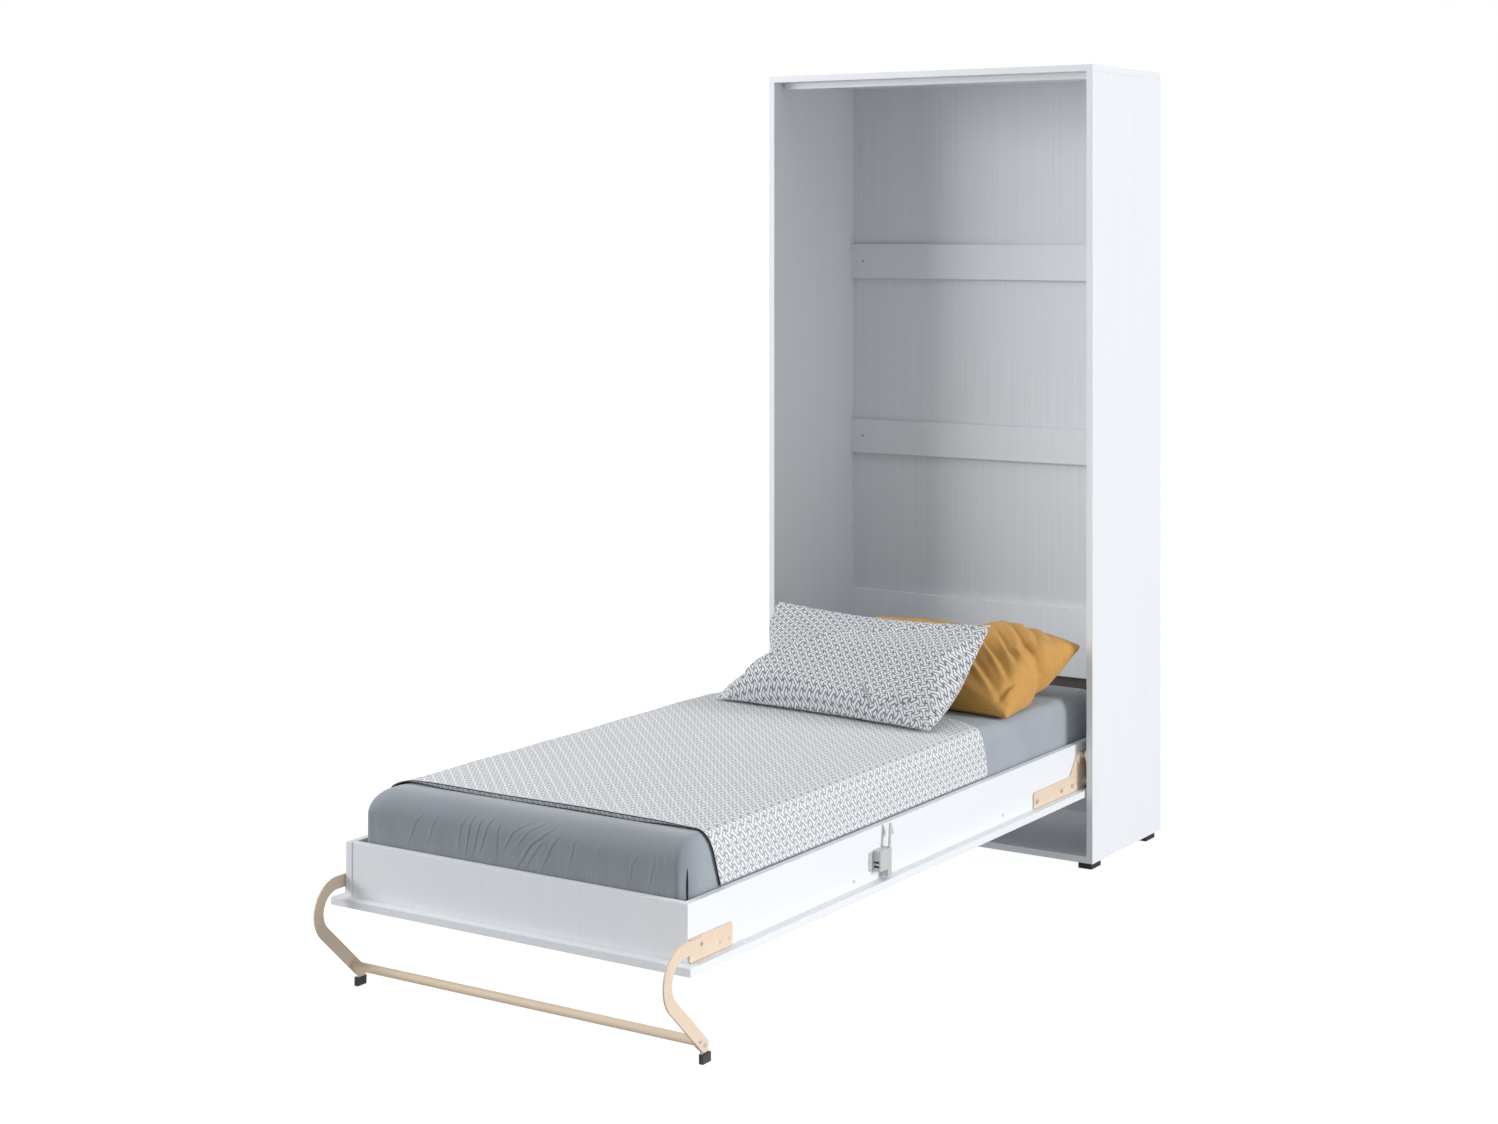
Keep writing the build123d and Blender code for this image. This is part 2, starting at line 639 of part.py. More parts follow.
def latch():
    """Hook latch on the right side board, and its strike on the right cabinet panel."""
    face = frame_half_width
    depth = latch_x_outer - face
    wall = 2.0
    body_y = sum(latch_y) / 2
    body_z = sum(latch_z) / 2
    hook_x = latch_x_outer - wall - 3.5
    with BuildPart() as housing:
        with BuildSketch(Plane.YZ.offset(face)):
            with Locations((at(body_y), body_z)):
                Rectangle(latch_y[1] - latch_y[0], latch_z[1] - latch_z[0])
            with Locations((at(latch_y[1] - 9.0), latch_z[0] - 8.0)):
                Rectangle(18.0, 20.0)
        extrude(amount=depth)
        fillet(housing.edges().filter_by(Axis.X), 2.0)
        with BuildSketch(Plane.YZ.offset(face + wall)):
            with Locations((at(body_y), body_z)):
                Rectangle(latch_y[1] - latch_y[0] - 2 * wall, latch_z[1] - latch_z[0] - 2 * wall)
        extrude(amount=depth - 2 * wall, mode=Mode.SUBTRACT)
        with BuildSketch(Plane.XZ.offset(-at(latch_y[0] - 1.0))):
            with Locations((face + depth / 2, 252.0), (face + depth / 2, 262.0)):
                Rectangle(depth - 2 * wall - 3.0, 5.0)
        extrude(amount=-wall - 2.0, mode=Mode.SUBTRACT)
        with BuildSketch(Plane.YZ.offset(hook_x - 0.5)):
            with Locations((at(hook_y), latch_z[1] - 15.0)):
                Rectangle(24.0, 38.0)
        extrude(amount=4.0, mode=Mode.SUBTRACT)
        with BuildSketch(Plane.YZ.offset(face)):
            with Locations((at(latch_y[0] - 8.0), body_z)):
                RectangleRounded(20.0, 44.0, 3.0)
            with Locations(*latch_screws):
                Circle(screw_r, mode=Mode.SUBTRACT)
        extrude(amount=wall)
        with BuildSketch(Plane.YZ.offset(face + depth - wall - 1.0)):
            with Locations((at(hook_y), hook_z)):
                Circle(2.52)
        extrude(amount=wall + 2.0, mode=Mode.SUBTRACT)
        with BuildSketch(Plane.YZ.offset(face - 1.0)):
            with Locations((at(hook_y), hook_z)):
                Circle(2.52)
        extrude(amount=wall + 2.0, mode=Mode.SUBTRACT)
    finish(housing, "latch_housing")

    outline = [
        (-1056.0, 256.0),
        (-1044.5, 256.0),
        (-1042.5, 296.0),
        (-1040.5, 316.0),
        (-1028.5, 317.0),
        (-1041.0, 344.0),
        (-1047.0, 344.0),
        (-1051.5, 296.0),
        (-1057.0, 270.0),
    ]
    with BuildPart() as hook:
        with BuildSketch(Plane.YZ.offset(hook_x)):
            with BuildLine():
                Polyline(*[(at(y), z) for y, z in outline], close=True)
            make_face()
            with Locations((at(hook_y), hook_z)):
                Circle(2.55, mode=Mode.SUBTRACT)
        extrude(amount=3.0)
    finish(hook, "latch_hook")

    finish(pegs([(at(hook_y), hook_z)], face + 0.5, 1, ((2.5, depth - 0.7),)), "latch_pin")

    with BuildPart() as screws:
        with BuildSketch(Plane.YZ.offset(face + wall)):
            with Locations(*latch_screws):
                Circle(3.6)
        extrude(amount=1.6, taper=20)
        with BuildSketch(Plane.YZ.offset(face + wall)):
            with Locations(*latch_screws):
                Circle(screw_r - 0.02)
        extrude(amount=-(wall + screw_depth - 0.5))
    finish(screws, "latch_screws")

    with BuildPart() as strike:
        with BuildSketch(Plane.YZ.offset(inner_x)):
            with Locations((at(sum(strike_y) / 2), sum(strike_z) / 2)):
                Rectangle(strike_y[1] - strike_y[0], strike_z[1] - strike_z[0])
            with Locations(*strike_screws):
                Circle(screw_r, mode=Mode.SUBTRACT)
        extrude(amount=-2.0)
        with BuildSketch(Plane.YZ.offset(inner_x - 2.0)):
            with Locations((at(strike_y[0] + 1.5), sum(strike_z) / 2)):
                Rectangle(3.0, strike_z[1] - strike_z[0])
        extrude(amount=-(inner_x - 2.0 - hook_x + 2.0))
    finish(strike, "latch_strike")
    strike_screw_steps = ((screw_r - 0.02, 15.4),)
    finish(pegs(strike_screws, inner_x - 1.9, 1, strike_screw_steps), "latch_strike_screws")


cabinet_sides()
cabinet_boards()
pivot_hardware()
lift_struts()
bed_box()
bedding()
hinge_hardware()
leg_hardware()
latch()
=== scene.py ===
import math
import bpy
import numpy as np
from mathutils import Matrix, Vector
from mathutils.bvhtree import BVHTree


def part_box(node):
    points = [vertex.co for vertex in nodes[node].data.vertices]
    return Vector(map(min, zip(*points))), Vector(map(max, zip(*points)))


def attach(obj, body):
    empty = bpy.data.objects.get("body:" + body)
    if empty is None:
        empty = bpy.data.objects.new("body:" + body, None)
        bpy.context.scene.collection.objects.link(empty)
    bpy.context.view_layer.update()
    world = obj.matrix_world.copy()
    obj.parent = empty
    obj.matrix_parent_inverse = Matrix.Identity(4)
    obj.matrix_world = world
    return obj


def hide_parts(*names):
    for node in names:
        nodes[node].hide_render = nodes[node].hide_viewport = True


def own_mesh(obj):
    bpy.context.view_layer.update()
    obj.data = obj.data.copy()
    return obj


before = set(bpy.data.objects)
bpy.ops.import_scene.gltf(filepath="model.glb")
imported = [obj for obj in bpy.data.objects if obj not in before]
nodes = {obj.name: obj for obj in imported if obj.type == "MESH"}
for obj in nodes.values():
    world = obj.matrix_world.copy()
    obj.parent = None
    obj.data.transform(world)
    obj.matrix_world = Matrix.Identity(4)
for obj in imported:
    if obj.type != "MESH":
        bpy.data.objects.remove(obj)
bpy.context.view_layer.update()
scene = bpy.context.scene

# ---------------------------------------------------------------- camera
camera_data = bpy.data.cameras.new("camera")
camera_data.sensor_fit = "HORIZONTAL"
camera_data.sensor_width = 36.0
camera_data.lens = 58.46
camera_data.shift_x = -0.0009
camera_data.shift_y = -0.2245
camera_data.clip_end = 200.0
camera = bpy.data.objects.new("camera", camera_data)
camera.location = (3.30995, -5.22932, 1.73683)
camera.rotation_euler = (math.radians(90.0), 0.0, math.radians(33.07))
scene.collection.objects.link(camera)
scene.camera = camera
scene.view_settings.view_transform = "Standard"

mattress_low, mattress_high = (Vector(corner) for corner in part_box("mattress"))
coverlet_low = Vector(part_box("coverlet")[0])


# ---------------------------------------------------------------- shader helpers
class Shader:
    """A material under construction: a node tree with a Principled shader."""

    def __init__(self, name):
        self.material = bpy.data.materials.new(name)
        self.material.use_nodes = True
        self.tree = self.material.node_tree
        self.tree.nodes.clear()
        output = self.node("OutputMaterial")
        self.bsdf = self.node("BsdfPrincipled")
        self.put(output.inputs["Surface"], self.bsdf.outputs["BSDF"])

    def put(self, socket, value):
        """Links a socket, or sets its number or colour."""
        if isinstance(value, bpy.types.NodeSocket):
            self.tree.links.new(value, socket)
        else:
            socket.default_value = value

    def node(self, kind, **values):
        node = self.tree.nodes.new("ShaderNode" + kind)
        for name, value in values.items():
            self.put(node.inputs[name], value)
        return node

    def set(self, **values):
        for name, value in values.items():
            self.put(self.bsdf.inputs[name.replace("_", " ")], value)

    def math(self, operation, *values):
        node = self.node("Math")
        node.operation = operation
        for socket, value in zip(node.inputs, values):
            self.put(socket, value)
        return node.outputs[0]

    def times(self, first, second):
        return self.math("MULTIPLY", first, second)

    def plus(self, first, second):
        return self.math("ADD", first, second)

    def object_coordinates(self):
        return self.node("TexCoord").outputs["Object"]

    def attribute(self, name):
        node = self.node("Attribute")
        node.attribute_name = name
        return node.outputs["Vector"]

    def scaled(self, vector, factors, turn=0.0):
        node = self.node("Mapping", Scale=factors, Rotation=(0.0, 0.0, turn), Vector=vector)
        return node.outputs["Vector"]

    def parts(self, vector):
        return self.node("SeparateXYZ", Vector=vector).outputs

    def noise(self, vector, scale, detail=3.0, roughness=0.5, distortion=0.0):
        node = self.node("TexNoise", Vector=vector, Scale=scale, Detail=detail, Roughness=roughness,
                         Distortion=distortion)
        return node.outputs["Fac"]

    def remap(self, value, low, high, to_low, to_high, smooth=False):
        node = self.node("MapRange")
        node.interpolation_type = "SMOOTHSTEP" if smooth else "LINEAR"
        for socket, number in zip(node.inputs, (value, low, high, to_low, to_high)):
            self.put(socket, number)
        return node.outputs[0]

    def mix(self, factor, first, second):
        node = self.node("Mix")
        node.data_type = "RGBA"
        for index, value in ((0, factor), (6, first), (7, second)):
            self.put(node.inputs[index], value)
        return node.outputs[2]

    def bump(self, height, distance, strength, under=None):
        node = self.node("Bump", Strength=strength, Distance=distance, Height=height)
        if under is not None:
            self.put(node.inputs["Normal"], under)
        return node.outputs["Normal"]

    def soft_edges(self, radius):
        node = self.node("Bevel", Radius=radius)
        node.samples = 4
        return node.outputs["Normal"]


def rgb(red, green, blue):
    return (red, green, blue, 1.0)


def shade(tint, factor):
    """The tint made lighter or darker by a factor."""
    return rgb(*[min(1.0, c * factor) for c in tint])


def grain_scale(along, across_grain, with_grain):
    """Texture scale for a grain that runs along one axis."""
    scale = [across_grain] * 3
    scale["xyz".index(along)] = with_grain
    return scale


# ---------------------------------------------------------------- hard materials
def board_material(name, tint, along, depth=1.0, roughness=0.5, shade_band=None):
    """Melamine-faced board: faint streaks that run along one axis, and a finely embossed surface.
    The last argument gives two heights and the y of the middle: between the heights the inner face gets a
    dark strip of painted shade."""
    shader = Shader(name)
    place = shader.object_coordinates()
    streaks = shader.noise(shader.scaled(place, grain_scale(along, 170.0, 1.3)), 1.0, 4.0, 0.62, 0.4)
    grain = shader.noise(shader.scaled(place, grain_scale(along, 420.0, 9.0)), 1.0, 3.0, 0.6)
    cloud = shader.noise(place, 2.6, 2.0, 0.5)
    light = shade(tint, 1.0 + 0.022 * depth)
    dark = shade(tint, 1.0 - 0.050 * depth)
    colour = shader.mix(shader.remap(streaks, 0.34, 0.68, 0.0, 1.0), dark, light)
    pores = shader.remap(grain, 0.30, 0.40, 1.0, 0.0)
    colour = shader.mix(shader.times(pores, 0.16 * depth), colour, shade(tint, 0.88))
    colour = shader.mix(shader.remap(cloud, 0.3, 0.7, 0.0, 0.05), colour, shade(tint, 0.9))
    # painted shade: a dark strip on the inner face between the two given heights, for the shade in the gap
    # behind the bed's head end; the grain only varies its tone
    if shade_band is not None:
        lowest, highest, middle = shade_band
        _, back, up = shader.parts(place)
        inner = shader.remap(back, middle - 0.0003, middle + 0.0003, 1.0, 0.0)
        above = shader.remap(up, lowest - 0.0005, lowest + 0.0005, 0.0, 1.0)
        below = shader.remap(up, highest - 0.0005, highest + 0.0005, 1.0, 0.0)
        fibre_and_painted_shade = shader.mix(grain, rgb(0.085, 0.072, 0.062), rgb(0.135, 0.118, 0.105))
        painted_shade_strip = shader.times(shader.times(above, below), inner)
        colour = shader.mix(painted_shade_strip, colour, fibre_and_painted_shade)
    height = shader.plus(shader.times(streaks, 0.5), shader.times(grain, 0.5))
    normal = shader.bump(height, 0.00030, 0.35 * min(1.0, depth + 0.3), shader.soft_edges(0.0007))
    rough = shader.remap(grain, 0.3, 0.7, roughness - 0.06, roughness + 0.06)
    shader.set(Base_Color=colour, Roughness=rough, Normal=normal, Specular_IOR_Level=0.35)
    return shader.material


def coated_metal(name, tint, roughness, metallic, speck=0.05, grain=900.0):
    """Powder-coated or plated metal: fine orange peel, slight mottling and softened edges."""
    shader = Shader(name)
    place = shader.object_coordinates()
    peel = shader.noise(place, grain, 2.0, 0.6)
    mottle = shader.noise(place, 22.0, 3.0, 0.55)
    darker = shade(tint, 1.0 - speck)
    colour = shader.mix(shader.remap(mottle, 0.32, 0.7, 0.0, 1.0), darker, shade(tint, 1.0 + 0.5 * speck))
    colour = shader.mix(shader.remap(peel, 0.62, 0.72, 0.0, 0.25), colour, darker)
    normal = shader.bump(peel, 0.00012, 0.30, shader.soft_edges(0.0006))
    rough = shader.remap(mottle, 0.3, 0.7, roughness - 0.05, roughness + 0.05)
    shader.set(Base_Color=colour, Roughness=rough, Normal=normal, Metallic=metallic)
    return shader.material


def moulded(name, tint, roughness, grain=650.0, depth=0.0002):
    """Moulded plastic or rubber with a fine spark-eroded grain and dust in the hollows."""
    shader = Shader(name)
    place = shader.object_coordinates()
    bumps = shader.noise(place, grain, 3.0, 0.6)
    dust = shader.noise(place, 30.0, 4.0, 0.6)
    lighter = rgb(*[c * 1.5 + 0.01 for c in tint])
    colour = shader.mix(shader.remap(dust, 0.45, 0.8, 0.0, 0.6), rgb(*tint), lighter)
    normal = shader.bump(bumps, depth, 0.5, shader.soft_edges(0.0008))
    rough = shader.remap(bumps, 0.3, 0.7, roughness - 0.08, roughness + 0.08)
    shader.set(Base_Color=colour, Roughness=rough, Normal=normal)
    return shader.material


def wood(name, light, dark, along, roughness=0.55):
    """Planed timber or birch laminate: long rings and short pores along one axis."""
    shader = Shader(name)
    place = shader.object_coordinates()
    rings = shader.noise(shader.scaled(place, grain_scale(along, 26.0, 0.9)), 1.6, 5.0, 0.6, 1.2)
    pores = shader.noise(shader.scaled(place, grain_scale(along, 700.0, 22.0)), 1.0, 2.0, 0.6)
    bands = shader.math("FRACT", shader.times(rings, 7.0))
    colour = shader.mix(shader.remap(bands, 0.0, 1.0, 0.1, 0.9, True), rgb(*light), rgb(*dark))
    colour = shader.mix(shader.remap(pores, 0.25, 0.38, 0.4, 0.0), colour, shade(dark, 0.6))
    normal = shader.bump(pores, 0.0003, 0.4, shader.soft_edges(0.0008))
    rough = shader.remap(bands, 0.0, 1.0, roughness - 0.05, roughness + 0.08)
    shader.set(Base_Color=colour, Roughness=rough, Normal=normal)
    return shader.material


white = (0.800, 0.822, 0.850)
white_up = board_material("melamine_white_vertical", white, "z", 0.55)
white_long = board_material("melamine_white_lengthwise", white, "y", 0.25)
white_across = board_material("melamine_white_across", white, "x", 0.4)
# painted shade: the rails get the white melamine painted darker, for their shade deep in the cabinet
white_rail = board_material("melamine_white_rails_painted_shade", tuple(0.88 * c for c in white), "z", 0.55)
# the painted shade strip on the back sheet reaches down from the lower back board's bottom edge towards the
# bed
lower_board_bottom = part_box("back_board_lower")[0][2]
sheet_middle = (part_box("back_panel")[0][1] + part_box("back_panel")[1][1]) / 2.0
back_sheet = board_material("back_sheet_white_streaked", (0.700, 0.718, 0.745), "z", 1.1, 0.58,
                            (lower_board_bottom - 0.20, lower_board_bottom + 0.004, sheet_middle))
champagne = coated_metal("champagne_coat", (0.752, 0.608, 0.470), 0.48, 0.0, 0.03)
# painted light: the cross bar's coat is a lighter copy of the arms' champagne, standing in for the key
# light the bar misses; its matte finish is its own
champagne_bar_painted_light = coated_metal("champagne_bar_painted_light", (0.890, 0.715, 0.540), 0.62, 0.0, 0.03)
screw_zinc = coated_metal("screw_zinc_plate", (0.560, 0.550, 0.530), 0.34, 0.75, 0.12, 500.0)
zinc = coated_metal("zinc_plate", (0.860, 0.860, 0.845), 0.30, 0.65, 0.10, 500.0)
gold = coated_metal("yellow_zinc_plate", (0.900, 0.790, 0.620), 0.30, 0.60, 0.12, 500.0)
latch_coat = coated_metal("latch_grey_coat", (0.560, 0.580, 0.570), 0.45, 0.15)
strut_paint = coated_metal("strut_black_paint", (0.018, 0.018, 0.020), 0.32, 0.0, 0.2)
chrome = coated_metal("strut_rod_chrome", (0.800, 0.800, 0.810), 0.10, 1.0, 0.03, 300.0)
black_plastic = moulded("foot_black_plastic", (0.016, 0.016, 0.017), 0.48)
rubber = moulded("leg_dark_rubber", (0.045, 0.046, 0.049), 0.72, 420.0, 0.0004)
nylon = moulded("bush_natural_nylon", (0.640, 0.630, 0.590), 0.40)
birch = wood("birch_laminate", (0.760, 0.600, 0.400), (0.640, 0.470, 0.280), "x")
pine = wood("planed_pine", (0.780, 0.620, 0.410), (0.650, 0.450, 0.240), "y")


def both(*stems):
    """The names of left and right parts."""
    return tuple(f"{stem}_{side}" for stem in stems for side in ("left", "right"))


finish_of = {
    white_up: both("cabinet_side") + ("back_board_lower", "foot_board", "head_board"),
    white_rail: ("back_rail_upper", "back_rail_middle"),
    white_long: both("side_board") + ("deck_panel",),
    white_across: ("cabinet_top", "cabinet_bottom", "top_stop_rail"),
    back_sheet: ("back_panel",),
    champagne: both("hinge_bracket", "leg_bracket", "leg_arm", "leg_end_plate"),
    champagne_bar_painted_light: ("leg_cross_bar",),
    zinc: both("pivot_plate", "pivot_pin", "strut_anchor") + (
        "cabinet_hardware_screws", "latch_strike", "latch_strike_screws", "side_board_screws",
        "leg_bracket_screws", "latch_pin", "latch_screws", "leg_end_screws"),
    screw_zinc: ("hinge_bracket_screws",),
    gold: both("strut_stud") + ("hinge_arm_caps", "leg_pivot_pins"),
    latch_coat: ("latch_housing", "latch_hook"),
    strut_paint: both("strut_cylinder"),
    chrome: both("strut_rod"),
    black_plastic: ("cabinet_feet",),
    rubber: both("leg_foot"),
    nylon: ("pivot_bushes",),
    birch: ("slats",),
    pine: both("slat_batten") + ("slat_beam_middle",),
}
for finish, names in finish_of.items():
    for name in names:
        nodes[name].data.materials.clear()
        nodes[name].data.materials.append(finish)


# ---------------------------------------------------------------- fabric materials
lattice_stroke = 0.00435


def lattice(shader, place, stroke):
    """The woven pattern: upright and lying I-bars that interlock, one stroke wide and one stroke apart,
    turned 45 degrees to the cloth."""
    axes = shader.parts(shader.scaled(place, (1.0 / stroke, 1.0 / stroke, 1.0), math.radians(45.0)))
    cell = 5.0
    indices = []
    offsets = []
    for axis in (axes[0], axes[1]):
        index = shader.math("ROUND", shader.math("DIVIDE", axis, cell))
        centre = shader.times(index, cell)
        indices.append(index)
        offsets.append(shader.math("ABSOLUTE", shader.math("SUBTRACT", axis, centre)))
    odd = shader.math("FLOORED_MODULO", shader.plus(*indices), 2.0)
    even = shader.math("SUBTRACT", 1.0, odd)

    def pick(first, second):
        """The first offset in even cells, the second in odd ones."""
        in_even = shader.times(first, even)
        return shader.plus(in_even, shader.times(second, odd))

    across = pick(offsets[0], offsets[1])
    along = pick(offsets[1], offsets[0])
    soft = 0.10                    # half the width over which a stroke's edge fades, in strokes
    stem_half, cap_start, cap_half = 0.65, 1.35, 1.65
    stem = shader.remap(across, stem_half - soft, stem_half + soft, 1.0, 0.0, True)
    cap_side = shader.remap(across, cap_start - soft, cap_start + soft, 0.0, 1.0, True)
    cap_end = shader.remap(along, cap_half - soft, cap_half + soft, 1.0, 0.0, True)
    return shader.math("MAXIMUM", stem, shader.times(cap_side, cap_end))


def weave(shader, place, pitch):
    """Height of a plain weave: warp and weft threads that pass over and under each other."""
    axes = shader.parts(shader.scaled(place, (math.pi / pitch, math.pi / pitch, 1.0)))
    warp = shader.math("SINE", axes[0])
    weft = shader.math("SINE", axes[1])
    over = shader.times(warp, weft)
    return shader.math("MULTIPLY_ADD", over, 0.5, 0.5)


def lattice_cloth(name, light, dark, stroke=lattice_stroke):
    """Plain-woven cloth with the light lattice on a darker ground."""
    shader = Shader(name)
    cut = shader.attribute("cut")
    pattern = lattice(shader, cut, stroke)
    threads = weave(shader, cut, 0.0008)
    slub = shader.noise(shader.scaled(cut, (300.0, 60.0, 1.0)), 1.0, 3.0, 0.6)
    colour = shader.mix(pattern, rgb(*dark), rgb(*light))
    colour = shader.mix(shader.remap(slub, 0.3, 0.7, 0.0, 0.14), colour, shade(dark, 0.8))
    raised = shader.times(pattern, 0.6)
    height = shader.plus(raised, shader.times(threads, 0.4))
    shader.set(Base_Color=colour, Normal=shader.bump(height, 0.00045, 0.55),
               Roughness=shader.remap(threads, 0.0, 1.0, 0.84, 0.94),
               Sheen_Weight=0.15, Sheen_Roughness=0.5, Specular_IOR_Level=0.2)
    return shader.material


def jersey(name, tint):
    """Fitted sheet: knit ribs too fine to count, soft mottling and a light bloom, with painted shade at the
    foot end.
    """
    shader = Shader(name)
    place = shader.object_coordinates()
    ribs = weave(shader, place, 0.0011)
    fibre_and_painted_shade = shader.noise(shader.scaled(place, (320.0, 320.0, 320.0)), 1.0, 4.0, 0.65)
    creases = shader.noise(shader.scaled(place, (70.0, 14.0, 10.0)), 1.0, 6.0, 0.60, 1.6)
    cloud = shader.noise(place, 7.0, 3.0, 0.5)
    colour = shader.mix(shader.remap(cloud, 0.3, 0.7, 0.0, 1.0), shade(tint, 0.94), shade(tint, 1.05))
    colour = shader.mix(shader.remap(fibre_and_painted_shade, 0.35, 0.65, 0.0, 0.22), colour, shade(tint, 0.72))
    # painted shade: the foot end is painted darker, for the shade on the mattress's foot face
    _, along, _ = shader.parts(place)
    foot_end = mattress_low.y
    foot = shader.remap(along, foot_end, foot_end + 0.10, 0.85, 0.0, True)
    colour = shader.mix(foot, colour, shade(tint, 0.712))
    fine = shader.bump(shader.plus(shader.times(ribs, 0.4), fibre_and_painted_shade), 0.00025, 0.5)
    normal = shader.bump(creases, 0.0022, 0.55, fine)
    shader.set(Base_Color=colour, Normal=normal, Roughness=shader.remap(fibre_and_painted_shade, 0.3, 0.7, 0.80, 0.92),
               Sheen_Weight=0.35, Sheen_Roughness=0.40, Specular_IOR_Level=0.2)
    return shader.material


def ribbed_cloth(name, tint):
    """Mustard cushion cloth: fine horizontal ribs with irregular slubs."""
    shader = Shader(name)
    cut = shader.attribute("cut")
    axes = shader.parts(cut)
    rib_pitch = 0.0058
    ribs = shader.math("SINE", shader.times(axes[1], 2.0 * math.pi / rib_pitch))
    slub = shader.noise(shader.scaled(cut, (45.0, 700.0, 1.0)), 1.0, 3.0, 0.65)
    threads = weave(shader, cut, 0.0010)
    mottle = shader.noise(shader.scaled(cut, (60.0, 60.0, 1.0)), 1.0, 4.0, 0.6)
    dark = rgb(tint[0] * 0.80, tint[1] * 0.74, tint[2] * 0.62)
    colour = shader.mix(shader.remap(slub, 0.3, 0.7, 0.0, 1.0), dark, shade(tint, 1.16))
    colour = shader.mix(shader.remap(ribs, -1.0, 1.0, 0.42, 0.0), colour, dark)
    colour = shader.mix(shader.remap(mottle, 0.35, 0.7, 0.0, 0.35), colour, rgb(*tint))
    uneven = shader.math("MULTIPLY_ADD", slub, 0.9, threads)
    height = shader.plus(shader.times(ribs, 0.40), uneven)
    shader.set(Base_Color=colour, Normal=shader.bump(height, 0.00080, 0.65),
               Roughness=shader.remap(slub, 0.3, 0.7, 0.78, 0.92),
               Sheen_Weight=0.2, Sheen_Tint=rgb(1.0, 0.82, 0.55), Specular_IOR_Level=0.2)
    return shader.material


sheet_cloth = jersey("sheet_grey_jersey", (0.352, 0.385, 0.424))
# painted shadow: a near-black copy of the sheet's jersey, for the tube that stands in for the shade inside
# each foot-corner tuck
painted_tuck_shadow = jersey("sheet_fold_shade", (0.030, 0.033, 0.038))
coverlet_cloth = lattice_cloth("coverlet_lattice_weave", (0.79, 0.80, 0.82), (0.37, 0.385, 0.41))
# painted shade: a darker copy of the coverlet's lattice cloth, for the shaded underside of its rolled foot
# edge
painted_fold_shade = lattice_cloth("coverlet_fold_shade", (0.36, 0.37, 0.39), (0.20, 0.21, 0.225), 0.0043)
pillow_cloth = lattice_cloth("pillow_lattice_weave", (0.74, 0.75, 0.77), (0.20, 0.215, 0.24))
mustard_cloth = ribbed_cloth("pillow_mustard_rib", (0.665, 0.368, 0.110))
# painted shade: near-black lines along the coverlet's foot edge, for the shade in its groove and its
# contact shadow on the sheet
edge_shade_black = moulded("coverlet_edge_painted_shade", (0.012, 0.013, 0.015), 0.75, 900.0, 0.0003)


# ---------------------------------------------------------------- mesh helpers
def build_mesh(name, points, faces, material, cut=None, smooth=True):
    """A piece from points and faces. cut is each point's place on the flat cloth, for the materials."""
    mesh = bpy.data.meshes.new(name)
    mesh.from_pydata([tuple(p) for p in points], [], [tuple(int(i) for i in f) for f in faces])
    mesh.materials.append(material)
    if smooth:
        mesh.polygons.foreach_set("use_smooth", [True] * len(mesh.polygons))
    if cut is not None:
        layer = mesh.attributes.new("cut", "FLOAT_VECTOR", "POINT")
        flat = np.zeros((len(points), 3))
        flat[:, :2] = cut
        layer.data.foreach_set("vector", flat.ravel())
    mesh.update()
    piece = bpy.data.objects.new(name, mesh)
    scene.collection.objects.link(piece)
    return piece


def positions(mesh):
    flat = np.empty(len(mesh.vertices) * 3)
    mesh.vertices.foreach_get("co", flat)
    return flat.reshape(-1, 3)


def set_positions(mesh, points):
    mesh.vertices.foreach_set("co", np.asarray(points, float).ravel())
    mesh.update()


def surface_of(piece):
    bpy.context.view_layer.update()
    return BVHTree.FromObject(piece, bpy.context.evaluated_depsgraph_get())


def unit(value):
    return np.clip(value, 0.0, 1.0)


def arch(share):
    """A half wave: 0 at both ends of the share, 1 in the middle."""
    return np.sin(np.pi * unit(share))


def bell(offset, width):
    return np.exp(-((offset / width) ** 2))


def smoothstep(low, high, value):
    share = unit((value - low) / (high - low))
    return share * share * (3.0 - 2.0 * share)


def polyline_distance(points, line):
    """For each 2-D point: its distance from a polyline, the share of the way along, and the side."""
    points = np.asarray(points, float)
    line = np.asarray(line, float)
    best = np.full(len(points), 1e9)
    share = np.zeros(len(points))
    side = np.zeros(len(points))
    lengths = np.linalg.norm(np.diff(line, axis=0), axis=1)
    total = lengths.sum()
    done = 0.0
    for start, end, length in zip(line[:-1], line[1:], lengths):
        step = end - start
        along = unit(((points - start) @ step) / (length * length))
        offset = points - (start + along[:, None] * step)
        gap = np.linalg.norm(offset, axis=1)
        closer = gap < best
        best = np.where(closer, gap, best)
        share = np.where(closer, (done + along * length) / total, share)
        turn = step[0] * (points[:, 1] - start[1]) - step[1] * (points[:, 0] - start[0])
        side = np.where(closer, np.sign(turn), side)
        done += length
    return best, share, side


def crease(points, line, height, width):
    """A fold along a polyline: full height in the middle of its length, fading out at both ends."""
    gap, share, _ = polyline_distance(points, line)
    fade = np.sin(np.pi * np.clip(share, 0.02, 0.98)) ** 0.6
    return height * fade * bell(gap, width)


